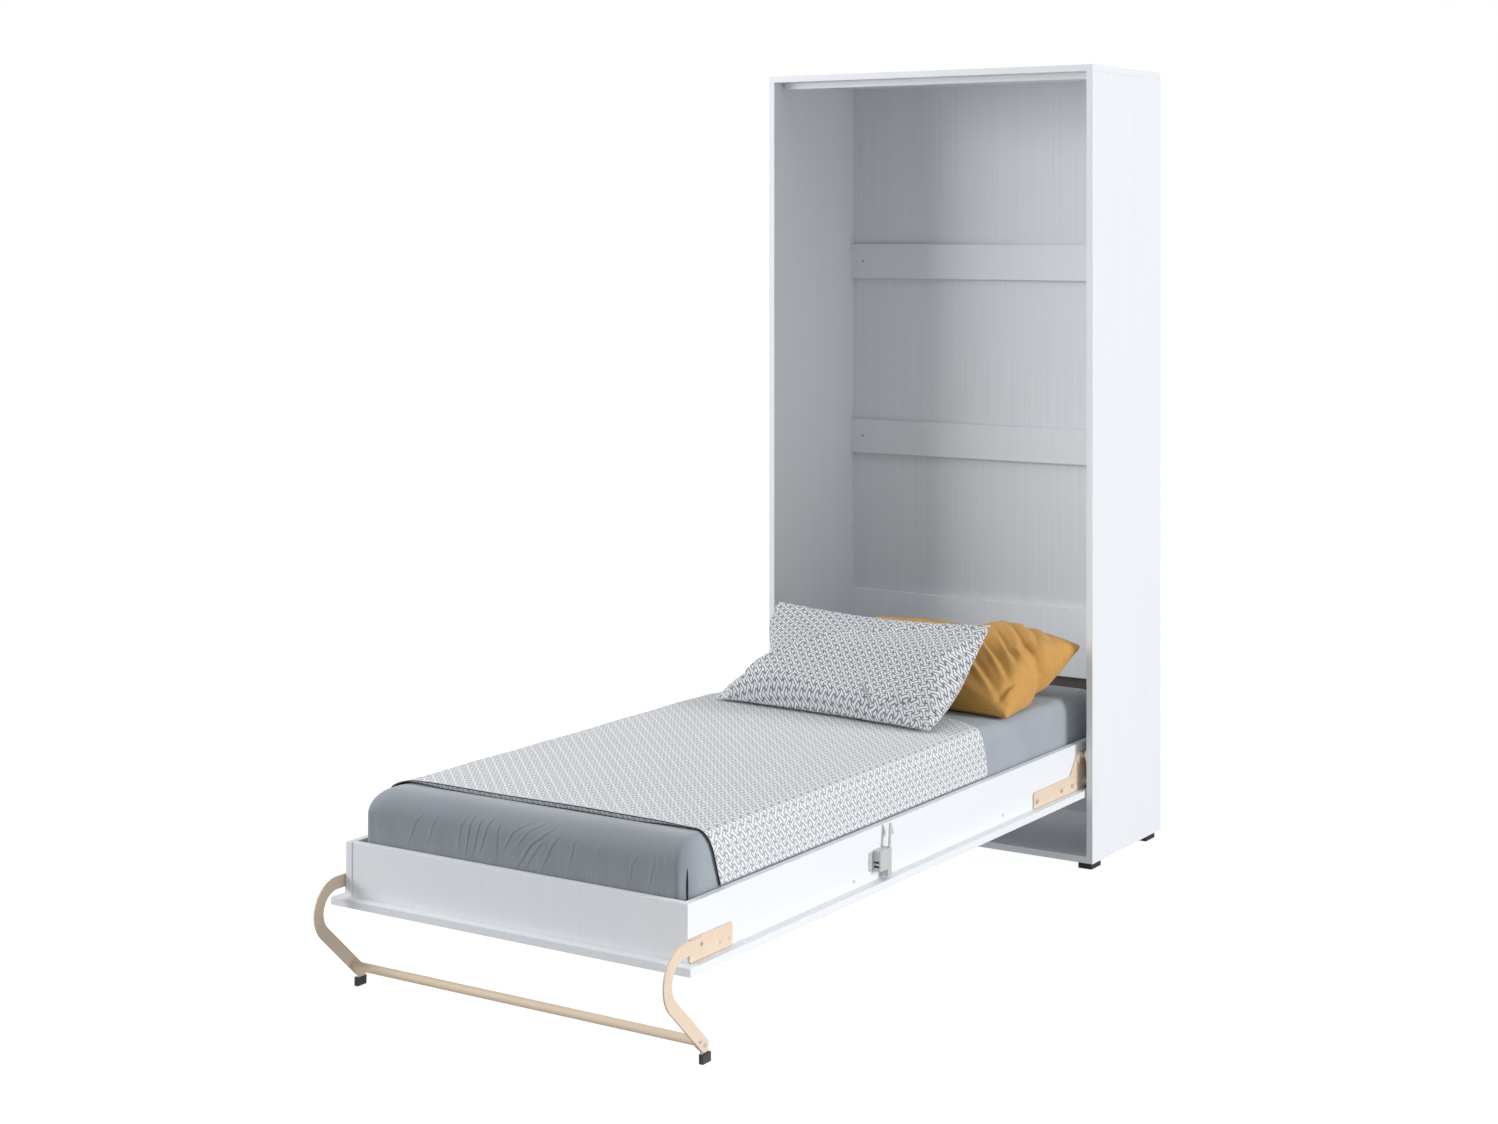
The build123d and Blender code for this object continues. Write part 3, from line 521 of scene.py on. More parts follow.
def simulate_pressure(piece, pressure, frames):
    """Inflates the piece with Blender's cloth and returns where its vertices end up."""
    modifier = piece.modifiers.new("cloth", "CLOTH")
    settings = modifier.settings
    stiffness = 25.0
    for name, value in (
        ("quality", 6), ("mass", 0.25), ("air_damping", 2.0), ("tension_stiffness", stiffness),
        ("compression_stiffness", stiffness), ("shear_stiffness", stiffness * 0.4),
        ("bending_stiffness", 0.15), ("use_pressure", True), ("uniform_pressure_force", pressure),
    ):
        setattr(settings, name, value)
    settings.effector_weights.gravity = 0.0
    modifier.collision_settings.use_collision = False
    modifier.collision_settings.use_self_collision = False
    modifier.point_cache.frame_start = 1
    modifier.point_cache.frame_end = frames
    for number in range(1, frames + 1):
        scene.frame_set(number)
    evaluated = piece.evaluated_get(bpy.context.evaluated_depsgraph_get())
    moved = positions(evaluated.to_mesh())
    evaluated.to_mesh_clear()
    piece.modifiers.remove(modifier)
    scene.frame_set(1)
    return moved


# ---------------------------------------------------------------- mattress
side_roll = 0.030
foot_roll = 0.072
head_roll = 0.036
top_roll = 0.056
squareness = 2.4
crown = 0.004


def grid_box(x_lines, y_lines, z_lines):
    """A closed box surface on the given grid lines, with shared vertices. Returns points and quads."""
    index = {}
    points = []
    faces = []

    def vertex(i, j, k):
        key = (i, j, k)
        if key not in index:
            index[key] = len(points)
            points.append((x_lines[i], y_lines[j], z_lines[k]))
        return index[key]

    def quad(*keys):
        faces.append([vertex(*key) for key in keys])

    nx, ny, nz = len(x_lines) - 1, len(y_lines) - 1, len(z_lines) - 1
    for i in range(nx):
        for j in range(ny):
            quad((i, j, nz), (i + 1, j, nz), (i + 1, j + 1, nz), (i, j + 1, nz))
            quad((i, j, 0), (i, j + 1, 0), (i + 1, j + 1, 0), (i + 1, j, 0))
    for i in range(nx):
        for k in range(nz):
            quad((i, 0, k), (i + 1, 0, k), (i + 1, 0, k + 1), (i, 0, k + 1))
            quad((i, ny, k), (i, ny, k + 1), (i + 1, ny, k + 1), (i + 1, ny, k))
    for j in range(ny):
        for k in range(nz):
            quad((0, j, k), (0, j, k + 1), (0, j + 1, k + 1), (0, j + 1, k))
            quad((nx, j, k), (nx, j + 1, k), (nx, j + 1, k + 1), (nx, j, k + 1))
    return np.array(points), faces


def round_off(points, low, high, bottom_roll):
    """Moves box points onto a box with rolled edges: tight along the sides, generous at the foot."""
    middle = (np.array(low) + np.array(high)) / 2.0
    reach = np.empty_like(points)
    reach[:, 0] = side_roll
    reach[:, 1] = np.where(points[:, 1] < middle[1], foot_roll, head_roll)
    reach[:, 2] = np.where(points[:, 2] > middle[2], top_roll, bottom_roll)
    core = np.clip(points, np.array(low) + reach, np.array(high) - reach)
    offset = (points - core) / reach
    size = (np.abs(offset) ** squareness).sum(axis=1) ** (1.0 / squareness)
    result = core + offset / np.maximum(size, 1e-9)[:, None] * reach
    inside = size < 1e-9
    result[inside] = points[inside]
    return result


def mattress_grid(step_foot, step):
    """The mattress box on a grid that is fine at the foot end, where the creases are."""
    low, high = mattress_low, mattress_high
    fine = 0.13                    # how far the fine part reaches from the foot end
    y_lines = list(np.arange(low.y, low.y + fine, step_foot))
    y_lines += list(np.linspace(low.y + fine, high.y, int((high.y - low.y - fine) / step)))
    x_lines = np.linspace(low.x, high.x, int((high.x - low.x) / step_foot))
    z_lines = np.linspace(low.z, high.z, int((high.z - low.z) / step_foot))
    return grid_box(list(x_lines), y_lines, list(z_lines))


def top_crown(points):
    """The filling stands a little higher in the middle, and the left edge is softer."""
    across = 1.0 - (points[:, 0] / mattress_high.x) ** 4
    along_middle = (mattress_low.y + mattress_high.y) / 2.0
    along = 1.0 - ((points[:, 1] - along_middle) / (mattress_high.y - along_middle)) ** 6
    height = smoothstep(mattress_low.z + 0.1, mattress_high.z, points[:, 2])
    worn_edge = 3.6 * np.clip(-points[:, 0] - 0.362, 0.0, 0.1) ** 2
    return (crown * unit(across) * unit(along) - worn_edge) * height


foot_creases = [
    # x and z of the start, the middle and the end, then height and width, in metres
    ((-0.311, 0.345), (-0.284, 0.405), (-0.252, 0.438), 0.0007, 0.0024),
    ((-0.252, 0.345), (-0.237, 0.401), (-0.214, 0.430), 0.0007, 0.0024),
    ((-0.165, 0.345), (-0.154, 0.410), (-0.136, 0.442), 0.0009, 0.0023),
    ((-0.144, 0.340), (-0.129, 0.419), (-0.111, 0.458), 0.0012, 0.0024),
    ((-0.123, 0.345), (-0.105, 0.414), (-0.089, 0.452), 0.0011, 0.0023),
    ((-0.105, 0.350), (-0.077, 0.428), (-0.048, 0.463), 0.0010, 0.0025),
    ((-0.056, 0.345), (-0.051, 0.415), (-0.039, 0.446), 0.0008, 0.0023),
    ((-0.039, 0.370), (-0.007, 0.420), (0.064, 0.460), 0.0011, 0.0025),
    ((-0.007, 0.378), (0.033, 0.425), (0.104, 0.464), 0.0010, 0.0024),
    ((0.003, 0.345), (0.041, 0.398), (0.113, 0.449), 0.0014, 0.0025),
    ((0.025, 0.345), (0.064, 0.399), (0.088, 0.413), 0.0010, 0.0023),
    ((0.072, 0.350), (0.100, 0.407), (0.125, 0.432), 0.0011, 0.0024),
    ((0.142, 0.350), (0.158, 0.418), (0.177, 0.440), 0.0007, 0.0024),
    ((0.211, 0.350), (0.223, 0.415), (0.238, 0.431), 0.0006, 0.0024),
    ((0.300, 0.345), (0.312, 0.395), (0.330, 0.420), 0.0007, 0.0024),
    ((0.352, 0.345), (0.362, 0.385), (0.372, 0.405), 0.0007, 0.0024),
]


def make_mattress():
    step_foot, step = ((0.0026, 0.014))
    raw, faces = mattress_grid(step_foot, step)
    low = (mattress_low.x + 0.002, mattress_low.y + 0.002, mattress_low.z)
    high = (mattress_high.x - 0.002, mattress_high.y - 0.002, mattress_high.z - 0.001)
    points = round_off(raw, low, high, 0.022)
    points[:, 2] += top_crown(points) - crown * 0.2
    # wrinkles of the fitted sheet on the foot end, pulled up from the tucked hem
    at_foot = smoothstep(mattress_low.y + 0.07, mattress_low.y + 0.03, points[:, 1])
    front = np.flatnonzero(at_foot > 0.0)
    face = points[front][:, [0, 2]]
    relief = np.zeros(len(front))
    for start, middle, end, height, width in foot_creases:
        relief += crease(face, (start, middle, end), height, width)
        beside = [(p[0] + 1.6 * width, p[1] - 0.5 * width) for p in (start, middle, end)]
        relief -= crease(face, beside, height * 0.7, width)
    low_part = smoothstep(0.44, 0.35, face[:, 1])
    pulled = np.sin(face[:, 0] * 61.0 + 9.0 * face[:, 1]) * np.sin(face[:, 0] * 23.0)
    fine = np.sin(face[:, 0] * 430.0 + 14.0 * np.sin(face[:, 0] * 37.0) + 18.0 * face[:, 1])
    relief += (0.0008 * pulled + 0.00016 * fine) * low_part
    points[front, 1] -= at_foot[front] * relief
    # the tuck at each foot corner: a narrow groove that fades out upwards, with a slight lip beside it
    for sign in (1.0, -1.0):
        near = np.flatnonzero((points[:, 1] < mattress_low.y + 0.11) & (sign * points[:, 0] > 0.36))
        diagonal = (sign * points[near, 0] - mattress_high.x) - 0.45 * (points[near, 1] - mattress_low.y)
        corner = np.column_stack([diagonal, points[near, 2]])
        fold = crease(corner, ((-0.0150, 0.225), (-0.0150, 0.330), (-0.0155, 0.404)), 0.006, 0.0036)
        lip = crease(corner, ((-0.0240, 0.225), (-0.0240, 0.330), (-0.0235, 0.402)), 0.0006, 0.0045)
        inward = np.array([-sign * 0.75, 0.66, 0.0])
        points[near] += inward[None, :] * (fold - lip)[:, None]
    # slight waves along the sides
    side = smoothstep(mattress_high.x - 0.03, mattress_high.x - 0.01, np.abs(points[:, 0]))
    ripple = 0.0008 * np.sin(points[:, 1] * 41.0 + 3.0 * np.sin(points[:, 1] * 7.0))
    points[:, 0] -= np.sign(points[:, 0]) * side * (0.0010 + ripple)
    return build_mesh("mattress_fitted_sheet", points, faces, sheet_cloth)


mattress = make_mattress()


def mattress_top(x, y):
    """Height of the mattress top at (x, y), by the same rolled edges."""
    x = np.asarray(x, float)
    y = np.asarray(y, float)
    over_x = unit((np.abs(x) - (mattress_high.x - side_roll)) / side_roll)
    over_y = unit(((mattress_low.y + foot_roll) - y) / foot_roll)
    left = unit(1.0 - over_x ** squareness - over_y ** squareness) ** (1.0 / squareness)
    base = mattress_high.z - top_roll + top_roll * left
    points = np.column_stack([np.broadcast_to(x, base.shape), np.broadcast_to(y, base.shape), base])
    return base + top_crown(points) - crown * 0.2


# ---------------------------------------------------------------- coverlet
cover_drop = coverlet_low.z + 0.002
cover_lift = 0.0022


def cover_section(columns):
    """The coverlet's section across the bed, from the left hem to the right hem: x, z, the outward
    direction, the place across the flat cloth, and the cloth's whole width."""
    half = mattress_high.x
    angle = np.linspace(0.0, math.pi / 2.0, 60)
    arc_x = half - side_roll + side_roll * np.cos(angle) ** (2.0 / squareness)
    arc_z = mattress_high.z - top_roll + top_roll * np.sin(angle) ** (2.0 / squareness)
    line_x = np.concatenate([[half], arc_x, [0.0]])
    line_z = np.concatenate([[cover_drop], arc_z, [mattress_high.z]])
    length = np.concatenate([[0.0], np.cumsum(np.hypot(np.diff(line_x), np.diff(line_z)))])
    total = 2.0 * length[-1]
    flat = np.linspace(-total / 2.0, total / 2.0, columns)
    from_hem = length[-1] - np.abs(flat)
    x = np.interp(from_hem, length, line_x)
    z = np.interp(from_hem, length, line_z)
    ahead, behind = from_hem + 0.004, from_hem - 0.004
    run_x = np.interp(ahead, length, line_x) - np.interp(behind, length, line_x)
    run_z = np.interp(ahead, length, line_z) - np.interp(behind, length, line_z)
    size = np.maximum(np.hypot(run_x, run_z), 1e-9)
    sign = np.where(flat < 0.0, -1.0, 1.0)
    return sign * x, z, sign * run_z / size, -run_x / size, flat, total


def make_coverlet():
    columns, rows = ((260, 210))
    x, z, out_x, out_z, flat_x, total = cover_section(columns)
    drop = smoothstep(mattress_high.x - 0.040, mattress_high.x - 0.001, np.abs(x))
    low_down = unit((mattress_high.z - z) / 0.13)
    foot_edge = coverlet_low.y + 0.004 + 0.045 * low_down
    # the head edge runs a little slanted over the side roll, as a laid cloth does
    head_flat = (0.0, 0.300, 0.376, 0.437, 0.464, 0.513, 0.560, 0.700)
    head_place = (0.300, 0.300, 0.278, 0.238, 0.245, 0.264, 0.272, 0.274)
    head_edge = np.interp(np.abs(flat_x), head_flat, head_place) + 0.004 * np.sin(flat_x * 9.0)
    spread = max(3, columns // 26)
    padded = np.concatenate([np.full(spread, head_edge[0]), head_edge, np.full(spread, head_edge[-1])])
    head_edge = np.convolve(padded, np.ones(2 * spread + 1) / (2 * spread + 1), "valid")
    t = np.linspace(0.0, 1.0, rows)
    top_points = []
    cuts = []
    for row in t:
        y = foot_edge + (head_edge - foot_edge) * row
        rise = top_crown(np.column_stack([x, y, z])) - crown * 0.2
        ripple = 0.0011 * np.sin(7.3 * y + 5.0 * flat_x) * np.sin(11.0 * flat_x + 2.0)
        ripple = ripple + 0.0006 * np.sin(23.0 * y - 13.0 * flat_x)
        puff = 0.0045 * bell(y - foot_edge, 0.028) * (1.0 - smoothstep(0.30, 0.44, np.abs(x)))
        lift = (cover_lift + 0.0012 + ripple + puff) * (1.0 - drop) + 0.0016 * drop
        top_points.append(np.column_stack([x + out_x * lift, y, z + out_z * lift + rise]))
        cuts.append(np.column_stack([flat_x, y]))
    upper = np.array(top_points)
    cut = np.array(cuts)
    # the underside lies on the sheet; the two meet in a rolled edge
    normal = np.column_stack([out_x, np.zeros(columns), out_z])
    thick = 0.0020 - 0.0008 * drop
    lower = upper - normal[None, :, :] * thick[None, :, None]
    points = np.concatenate([upper.reshape(-1, 3), lower.reshape(-1, 3)])
    cut_all = np.concatenate([cut.reshape(-1, 2), cut.reshape(-1, 2)])
    faces = []
    count = rows * columns
    for i in range(rows - 1):
        for j in range(columns - 1):
            a = i * columns + j
            faces.append((a, a + 1, a + columns + 1, a + columns))
            faces.append((count + a, count + a + columns, count + a + columns + 1, count + a + 1))
    for j in range(columns - 1):
        a, b = j, (rows - 1) * columns + j
        faces.append((a, count + a, count + a + 1, a + 1))
        faces.append((b, b + 1, count + b + 1, count + b))
    for i in range(rows - 1):
        a, b = i * columns, i * columns + columns - 1
        faces.append((a, a + columns, count + a + columns, count + a))
        faces.append((b, count + b, count + b + columns, b + columns))
    piece = build_mesh("coverlet_cloth", points, faces, coverlet_cloth, cut_all)
    return piece, upper, total, float(np.mean(head_edge - foot_edge))


coverlet, cover_grid, cover_across, cover_along = make_coverlet()


def tube(name, path, radii, material):
    """A round tube along a row of points, closed at both ends, with a radius for each point."""
    sides = 8
    path = np.asarray(path, float)
    tangents = np.gradient(path, axis=0)
    tangents /= np.linalg.norm(tangents, axis=1, keepdims=True)
    up = np.array([0.0, 1.0, 0.0])
    points = []
    faces = []
    for centre, tangent, radius in zip(path, tangents, radii):
        first = np.cross(tangent, up)
        first /= np.linalg.norm(first)
        second = np.cross(first, tangent)
        for k in range(sides):
            angle = 2.0 * math.pi * k / sides
            points.append(centre + radius * (math.cos(angle) * first + math.sin(angle) * second))
    for i in range(len(path) - 1):
        for k in range(sides):
            a = i * sides + k
            b = i * sides + (k + 1) % sides
            faces.append((a, b, b + sides, a + sides))
    faces.append(tuple(range(sides))[::-1])
    faces.append(tuple(len(points) - sides + k for k in range(sides)))
    return build_mesh(name, points, faces, material)


def make_tuck_shadow(name, sign):
    """A painted shadow at a foot corner: a thin near-black tube in the groove there, standing in for the
    shade inside the sheet's tucked fold.
    """
    tree = surface_of(mattress)
    path = []
    steps = 14
    for height in np.linspace(0.328, 0.403, steps):
        outside = Vector((sign * (mattress_high.x + 0.004), mattress_low.y + 0.016, height))
        place, normal, _, _ = tree.find_nearest(outside)
        path.append(place - normal * 0.0004)
    radii = 0.0002 + 0.0026 * np.sin(np.linspace(0.35, math.pi, steps)) ** 0.8
    return tube(name, path, radii, painted_tuck_shadow)


def make_cover_edge():
    """The doubled foot edge, all in painted shade: a dark line above for the shade in the edge's groove, a
    narrow band of the folded cloth painted darker as its shaded underside, and a second dark line, a
    painted contact shadow, where it meets the sheet."""
    edge = cover_grid[0]
    x = edge[:, 0]
    z = edge[:, 2]
    count = len(x)
    gap = 0.0072 * (1.0 - smoothstep(0.26, 0.40, np.abs(x)))
    upper_line = edge + np.array([0.0, -0.0008, 0.0])
    lower_line = edge + np.column_stack([np.zeros(count), -0.0012 - 0.45 * gap, -gap - 0.0008])
    upper = tube("coverlet_edge_groove_shade", upper_line, np.full(count, 0.0013), edge_shade_black)
    lower = tube("coverlet_edge_contact_shadow", lower_line, np.full(count, 0.0012), edge_shade_black)
    keep = np.abs(x) < 0.40
    rows = []
    cuts = []
    steps = 4
    for share in np.linspace(0.0, 1.0, steps + 1):
        bulge = 0.0022 * math.sin(math.pi * share)
        row = upper_line[keep] * (1.0 - share) + lower_line[keep] * share
        row[:, 1] -= bulge
        rows.append(row)
        cuts.append(np.column_stack([x[keep], np.full(keep.sum(), share * 0.009)]))
    width = int(keep.sum())
    faces = []
    for i in range(steps):
        for j in range(width - 1):
            a = i * width + j
            faces.append((a, a + width, a + width + 1, a + 1))
    band = build_mesh("coverlet_fold_band_shaded", np.concatenate(rows), faces, painted_fold_shade, np.concatenate(cuts))
    return upper, lower, band


edge_upper, edge_lower, edge_band = make_cover_edge()
# painted shadows in the two foot-corner tucks
tuck_right = make_tuck_shadow("sheet_tuck_shadow_right", 1.0)
tuck_left = make_tuck_shadow("sheet_tuck_shadow_left", -1.0)


# ---------------------------------------------------------------- pillows
def flat_pillow(name, width, length, material, step, drift=0.0):
    """Two sheets of cloth sewn together round the edge, lying flat.
    drift is how much the weave turns from one end to the other, pulled round by the loose filling."""
    nx = int(width / step)
    ny = int(length / step)
    xs = np.linspace(-width / 2.0, width / 2.0, nx + 1)
    ys = np.linspace(-length / 2.0, length / 2.0, ny + 1)
    points = []
    cut = []
    index = {}

    def vertex(i, j, side):
        on_seam = i in (0, nx) or j in (0, ny)
        key = (i, j, 0 if on_seam else side)
        if key not in index:
            index[key] = len(points)
            points.append((xs[i], ys[j], 0.0 if on_seam else 0.002 * side))
            cut.append((xs[i] - 2.0 * drift * xs[i] * ys[j], ys[j] + drift * (xs[i] ** 2 - ys[j] ** 2)))
        return index[key]

    faces = []
    for i in range(nx):
        for j in range(ny):
            ahead = ((i, j), (i + 1, j), (i + 1, j + 1), (i, j + 1))
            back = ((i, j), (i, j + 1), (i + 1, j + 1), (i + 1, j))
            faces.append([vertex(*key, 1) for key in ahead])
            faces.append([vertex(*key, -1) for key in back])
    piece = build_mesh(name, points, faces, material, np.array(cut))
    corners = [index[(i, j, 0)] for i, j in ((0, 0), (nx, 0), (0, ny), (nx, ny))]
    upper = np.zeros(len(points), bool)
    for (i, j, side), number in index.items():
        upper[number] = side == 1
    return piece, corners, upper


pillow_thickness = 0.150


def stuffed(piece, corners, width, length, hold):
    """Inflates a flat pillow and sets its greatest thickness. hold is how far the loose filling lets
    the seams stay straight. Returns shares across (a), shares up (b) and heights (c)."""
    flat = positions(piece.data)
    shaped = simulate_pressure(piece, 2.5, 20)
    shaped[:, 2] *= pillow_thickness / (shaped[:, 2].max() - shaped[:, 2].min())
    low = shaped[corners[0]]
    high = shaped[corners[3]]
    a = (shaped[:, 0] - low[0]) / (high[0] - low[0])
    b = (shaped[:, 1] - low[1]) / (high[1] - low[1])
    a = (1.0 - hold) * a + hold * (flat[:, 0] / width + 0.5)
    b = (1.0 - hold) * b + hold * (flat[:, 1] / length + 0.5)
    return a, b, shaped[:, 2]


def between_corners(a, b, corners):
    """Points on the twisted plane through four corners: near left, near right, far left, far right."""
    near_left, near_right, far_left, far_right = (np.array(c) for c in corners)
    a = a[:, None]
    b = b[:, None]
    near = near_left * (1 - a) * (1 - b) + near_right * a * (1 - b)
    return near + far_left * (1 - a) * b + far_right * a * b


def plane_normal(corners):
    near_left, near_right, far_left, far_right = (np.array(c) for c in corners)
    across = near_right + far_right - near_left - far_left
    upwards = far_left + far_right - near_left - near_right
    normal = np.cross(across, upwards)
    normal /= np.linalg.norm(normal)
    return normal if normal[2] > 0 else -normal


def rest_on(points, clearance):
    """Flattens whatever hangs below the mattress top onto it, and squeezes what is just above."""
    floor_height = mattress_top(points[:, 0], points[:, 1]) + clearance
    gap = points[:, 2] - floor_height
    soft = 0.012
    squeezed = np.where(gap < soft, soft * np.exp((gap - soft) / soft), gap)
    result = points.copy()
    result[:, 2] = floor_height + squeezed
    return result


def push_out(points, other, clearance):
    """Moves points that are inside the other piece to just outside its surface."""
    tree = surface_of(other)
    result = points.copy()
    for number, point in enumerate(points):
        place, normal, _, gap = tree.find_nearest(Vector(point), 0.08)
        if place is None:
            continue
        depth = (Vector(point) - place).dot(normal)
        if depth < clearance:
            result[number] = np.array(place + normal * clearance)
    return result


def draw_in(a, b, left, right, top):
    """Pulls the outline in, or lets it out, between the corners: shares at the left, right and top."""
    new_a = a + left * bell(b - 0.44, 0.24) * unit(1.0 - a) ** 3
    new_a += right * arch(b) * unit(a) ** 3
    return new_a, b + top * arch(a) * unit(b) ** 3


def on_plane(line, size):
    """A line given in shares across and up, in metres on the pillow's plane."""
    return [(across * size[0], up * size[1]) for across, up in line]


def add_folds(relief, plane, folds, size):
    """Adds creases: each has places in shares across and up, then its height and width in metres."""
    for line, height, spread in folds:
        relief = relief + crease(plane, on_plane(line, size), height, spread)
    return relief


def make_mustard():
    width, length = 0.640, 0.455
    size = (0.60, 0.42)            # between the corners once it is stuffed
    corners = [(-0.150, 0.376, 0.470), (0.447, 0.376, 0.470), (-0.160, 0.756, 0.628), (0.472, 0.770, 0.600)]
    step = 0.0065
    piece, corner_ids, upper = flat_pillow("pillow_mustard_cushion", width, length, mustard_cloth, step)
    a, b, c = stuffed(piece, corner_ids, width, length, 0.35)
    plane = np.column_stack([a * size[0], b * size[1]])
    relief = np.zeros(len(a))
    pleats = [
        # share across and up at three places along the pleat, then height and width in metres
        ((0.60, 0.50), (0.76, 0.26), (0.94, 0.05), 0.0075, 0.0075),
        ((0.62, 0.66), (0.78, 0.42), (0.93, 0.20), 0.0085, 0.0070),
        ((0.63, 0.80), (0.79, 0.56), (0.92, 0.34), 0.0085, 0.0070),
        ((0.66, 0.92), (0.81, 0.68), (0.92, 0.47), 0.0080, 0.0070),
        ((0.71, 0.98), (0.84, 0.79), (0.93, 0.60), 0.0065, 0.0065),
        ((0.78, 1.00), (0.87, 0.88), (0.94, 0.74), 0.0045, 0.0060),
    ]
    for first, second, third, height, spread in pleats:
        line = on_plane((first, second, third), size)
        beside = [(p[0] + 1.9 * spread, p[1] + 1.1 * spread) for p in line]
        relief += crease(plane, line, height, spread)
        relief -= crease(plane, beside, height * 0.9, spread * 1.1)
    dents = [
        (((0.86, 0.66), (0.93, 0.58), (1.02, 0.52)), -0.018, 0.010),
        (((0.90, 0.74), (0.95, 0.66), (1.00, 0.60)), 0.006, 0.010),
        (((0.84, 0.52), (0.90, 0.50), (0.97, 0.43)), 0.007, 0.009),
        (((0.935, 0.05), (0.945, 0.20), (0.975, 0.36)), -0.010, 0.0065),
        (((0.965, 0.08), (0.975, 0.20), (0.995, 0.32)), 0.006, 0.008),
        (((0.70, 0.10), (0.80, 0.055), (0.90, 0.04)), -0.005, 0.007),
    ]
    relief = np.where(upper, add_folds(relief, plane, dents, size), 0.0)
    notch = 0.030 * bell(b - 0.53, 0.06) * unit(a) ** 8
    middle = 0.055 * arch(b) * arch(a) ** 0.5
    # the left half leans back behind the front pillow, so its top is low and thin there
    sunk = smoothstep(0.45, 0.85, b) * (1.0 - smoothstep(0.50, 0.72, a))
    c = np.where(upper, c * (1.0 - 0.42 * sunk), c)
    middle *= 1.0 - sunk
    points = between_corners(a - notch, b, corners)
    points += plane_normal(corners)[None, :] * (c + relief + 0.25 * middle)[:, None]
    points = rest_on(points, 0.0012)
    set_positions(piece.data, points)
    return piece


def make_front_pillow(behind):
    width, length = 0.745, 0.470
    size = (0.69, 0.41)            # between the corners once it is stuffed
    corners = [(-0.318, 0.160, 0.470), (0.372, 0.098, 0.470), (-0.336, 0.516, 0.688), (0.362, 0.456, 0.690)]
    step = 0.0065
    name = "pillow_lattice_cushion"
    drift = 0.30
    piece, corner_ids, upper = flat_pillow(name, width, length, pillow_cloth, step, drift)
    a, b, c = stuffed(piece, corner_ids, width, length, 0.55)
    plane = np.column_stack([a * size[0], b * size[1]])
    ridge = on_plane([(0.08, 0.03), (0.15, 0.10), (0.188, 0.178), (0.240, 0.245), (0.301, 0.325),
                      (0.363, 0.410), (0.429, 0.501), (0.515, 0.610), (0.595, 0.700), (0.685, 0.785),
                      (0.835, 0.88), (1.05, 0.95)], size)
    gap, _, side = polyline_distance(plane, ridge)
    beyond = np.where(side > 0, gap, 0.0)
    inside = np.where(side > 0, 0.0, gap)
    # full below the ridge, where the filling has slid down, and flatter above it
    to_edge = np.minimum(np.minimum(a, 1.0 - a) * size[0], np.minimum(b, 1.0 - b) * size[1])
    rim = unit(to_edge / 0.05)
    full = 1.0 + 0.42 * bell(inside, 0.12) * rim * (1.0 - smoothstep(0.35, 0.75, b))
    high_up = 1.0 - 0.58 * smoothstep(0.45, 0.95, b)
    keep = 1.0 - 0.52 * smoothstep(0.0, 0.022, beyond) - 0.34 * smoothstep(0.015, 0.15, beyond)
    c = np.where(upper, c * keep * full * high_up, c * (0.30 + 0.40 * keep) * high_up)
    above = [(p[0] - 0.006, p[1] + 0.013) for p in ridge]
    relief = crease(plane, ridge, 0.0090, 0.0070) - crease(plane, above, 0.0060, 0.0080)
    folds = [
        # share across and up at three places along the fold, then height and width in metres
        ([(0.700, 0.17), (0.752, 0.075), (0.790, 0.005)], -0.012, 0.0060),
        ([(0.715, 0.19), (0.770, 0.100), (0.806, 0.020)], 0.007, 0.0075),
        ([(0.755, 0.14), (0.790, 0.060), (0.821, 0.010)], -0.012, 0.0055),
        ([(0.800, 0.055), (0.856, 0.085), (0.925, 0.135)], -0.011, 0.0048),
        ([(0.790, 0.115), (0.850, 0.135), (0.915, 0.180)], 0.007, 0.0070),
        ([(0.955, 0.200), (0.985, 0.195), (1.010, 0.225)], -0.010, 0.0055),
        ([(0.955, 0.130), (0.995, 0.130), (1.010, 0.170)], -0.009, 0.0055),
        ([(0.950, 0.165), (0.985, 0.162), (1.010, 0.195)], 0.006, 0.0060),
        ([(0.945, 0.240), (0.960, 0.470), (0.970, 0.780)], -0.0070, 0.0050),
        ([(0.920, 0.230), (0.935, 0.450), (0.948, 0.760)], 0.0050, 0.0075),
        ([(0.10, 0.94), (0.22, 0.77), (0.35, 0.60)], -0.0040, 0.0070),
        ([(0.06, 0.90), (0.18, 0.74), (0.31, 0.58)], 0.0030, 0.0080),
        ([(0.40, 0.36), (0.48, 0.30), (0.56, 0.20)], -0.0030, 0.0180),
        ([(0.52, 0.62), (0.60, 0.52), (0.66, 0.42)], -0.0025, 0.0200),
    ]
    relief = np.where(upper, add_folds(relief, plane, folds, size), 0.0)
    seam = unit(1.0 - rim * 4.0)
    wave = 0.0022 * np.sin(a * 74.0 + 1.0) * np.sin(b * 55.0 + 0.5) * seam
    a, b = draw_in(a, b, 0.115, 0.026, -0.035)
    points = between_corners(a, b, corners)
    points += plane_normal(corners)[None, :] * (c + relief + wave)[:, None]
    points = push_out(points, behind, 0.002)
    points = rest_on(points, 0.0075)
    set_positions(piece.data, points)
    return piece


mustard = make_mustard()
front_pillow = make_front_pillow(mustard)


# ---------------------------------------------------------------- joining the frame
def refine(piece):
    modifier = piece.modifiers.new("smooth", "SUBSURF")
    modifier.levels = 1
    modifier.render_levels = 1
    bpy.context.view_layer.objects.active = piece
    for other in bpy.context.selected_objects:
        other.select_set(False)
    piece.select_set(True)
    bpy.ops.object.modifier_apply(modifier=modifier.name)


for piece in (front_pillow, mustard):
    refine(piece)

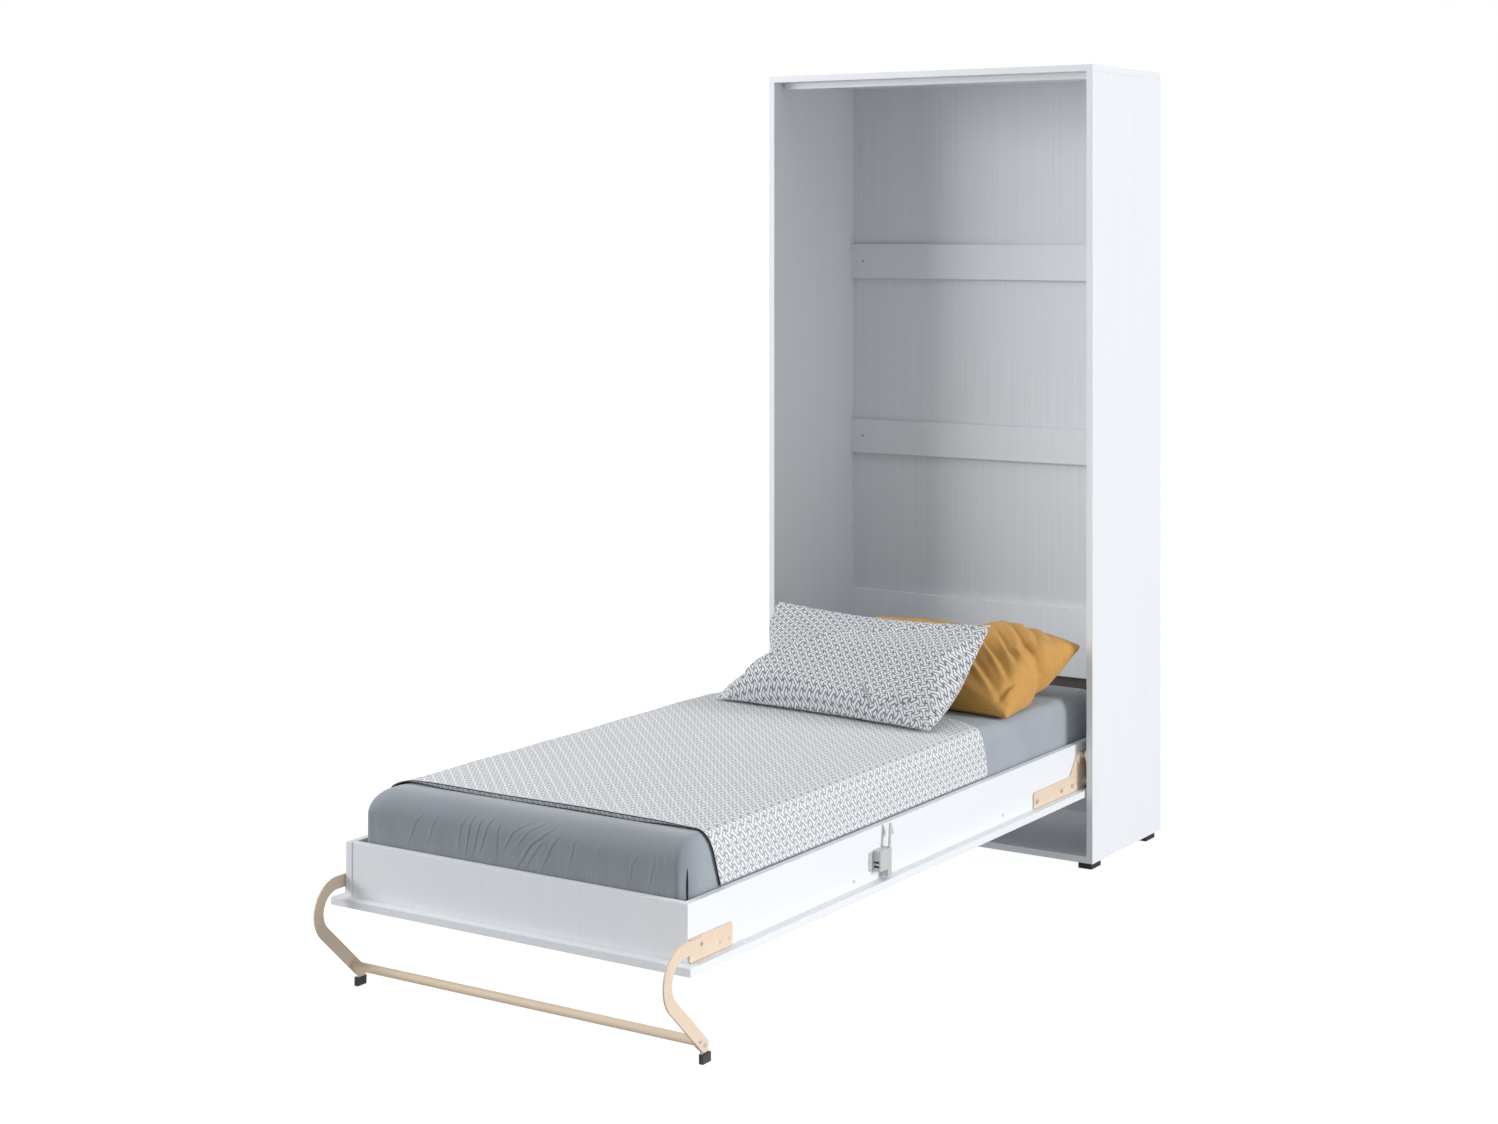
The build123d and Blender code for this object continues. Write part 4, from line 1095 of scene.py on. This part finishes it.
# the new bedding pieces join the bed's body, and the CAD parts they stand for are hidden
for piece, node, slot in (
    (mattress, "mattress", "sheet_grey"),
    (coverlet, "coverlet", "coverlet_lattice"),
    (mustard, "pillow_back", "pillow_mustard"),
    (front_pillow, "pillow_front", "pillow_lattice"),
):
    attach(piece, "bed")
    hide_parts(node)
for piece in (edge_upper, edge_lower, edge_band):
    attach(piece, "bed")
for piece in (tuck_right, tuck_left):
    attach(piece, "bed")
for piece in (mattress, coverlet, edge_upper, edge_lower, edge_band, tuck_right, tuck_left):
    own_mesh(piece)
for piece in (mustard, front_pillow):
    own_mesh(piece)


# ---------------------------------------------------------------- floor, world and lights
def make_floor():
    size = 40.0
    under_feet = -0.0015
    points = [(x, y, under_feet) for x, y in ((-size, -size), (size, -size), (size, size), (-size, size))]
    shader = Shader("floor_pale")
    shader.set(Base_Color=rgb(0.26, 0.26, 0.26), Roughness=0.9, Specular_IOR_Level=0.0,
               Emission_Color=rgb(1.0, 1.0, 1.0), Emission_Strength=0.91)
    floor = build_mesh("floor", points, [(0, 1, 2, 3)], shader.material, smooth=False)
    # the floor shows as plain white but doesn't throw its brightness back on the object
    floor.visible_diffuse = False
    floor.visible_glossy = False


def make_world():
    world = bpy.data.worlds.new("studio")
    scene.world = world
    world.use_nodes = True
    tree = world.node_tree
    tree.nodes.clear()
    output = tree.nodes.new("ShaderNodeOutputWorld")
    chooser = tree.nodes.new("ShaderNodeMixShader")
    ray = tree.nodes.new("ShaderNodeLightPath")
    tree.links.new(ray.outputs["Is Camera Ray"], chooser.inputs[0])
    # the object sees a soft dim sky, the camera plain white
    for slot, tint, strength in ((1, rgb(0.96, 0.98, 1.0), 0.40), (2, rgb(1.0, 1.0, 1.0), 1.0)):
        sky = tree.nodes.new("ShaderNodeBackground")
        sky.inputs["Color"].default_value = tint
        sky.inputs["Strength"].default_value = strength
        tree.links.new(sky.outputs[0], chooser.inputs[slot])
    tree.links.new(chooser.outputs[0], output.inputs["Surface"])


def area_light(name, place, target, size, power):
    data = bpy.data.lights.new(name, "AREA")
    data.shape = "RECTANGLE"
    data.size, data.size_y = size
    data.energy = power
    light = bpy.data.objects.new(name, data)
    light.location = place
    direction = Vector(target) - Vector(place)
    light.rotation_euler = direction.to_track_quat("-Z", "Y").to_euler()
    light.visible_camera = False
    scene.collection.objects.link(light)


make_floor()
make_world()
area_light("key_right", (18.0, 5.0, 5.4), (0.3, 0.4, 0.8), (6.0, 8.0), 2620.0)
area_light("fill_left_front", (-4.6, -3.0, 2.6), (0.2, 1.0, 1.1), (3.4, 3.0), 262.0)
area_light("overhead", (0.0, -0.4, 5.2), (0.0, -0.2, 0.0), (3.0, 4.0), 42.0)
area_light("floor_bounce", (1.9, -1.2, 0.01), (-0.2, 1.1, 0.45), (2.6, 2.6), 9.0)
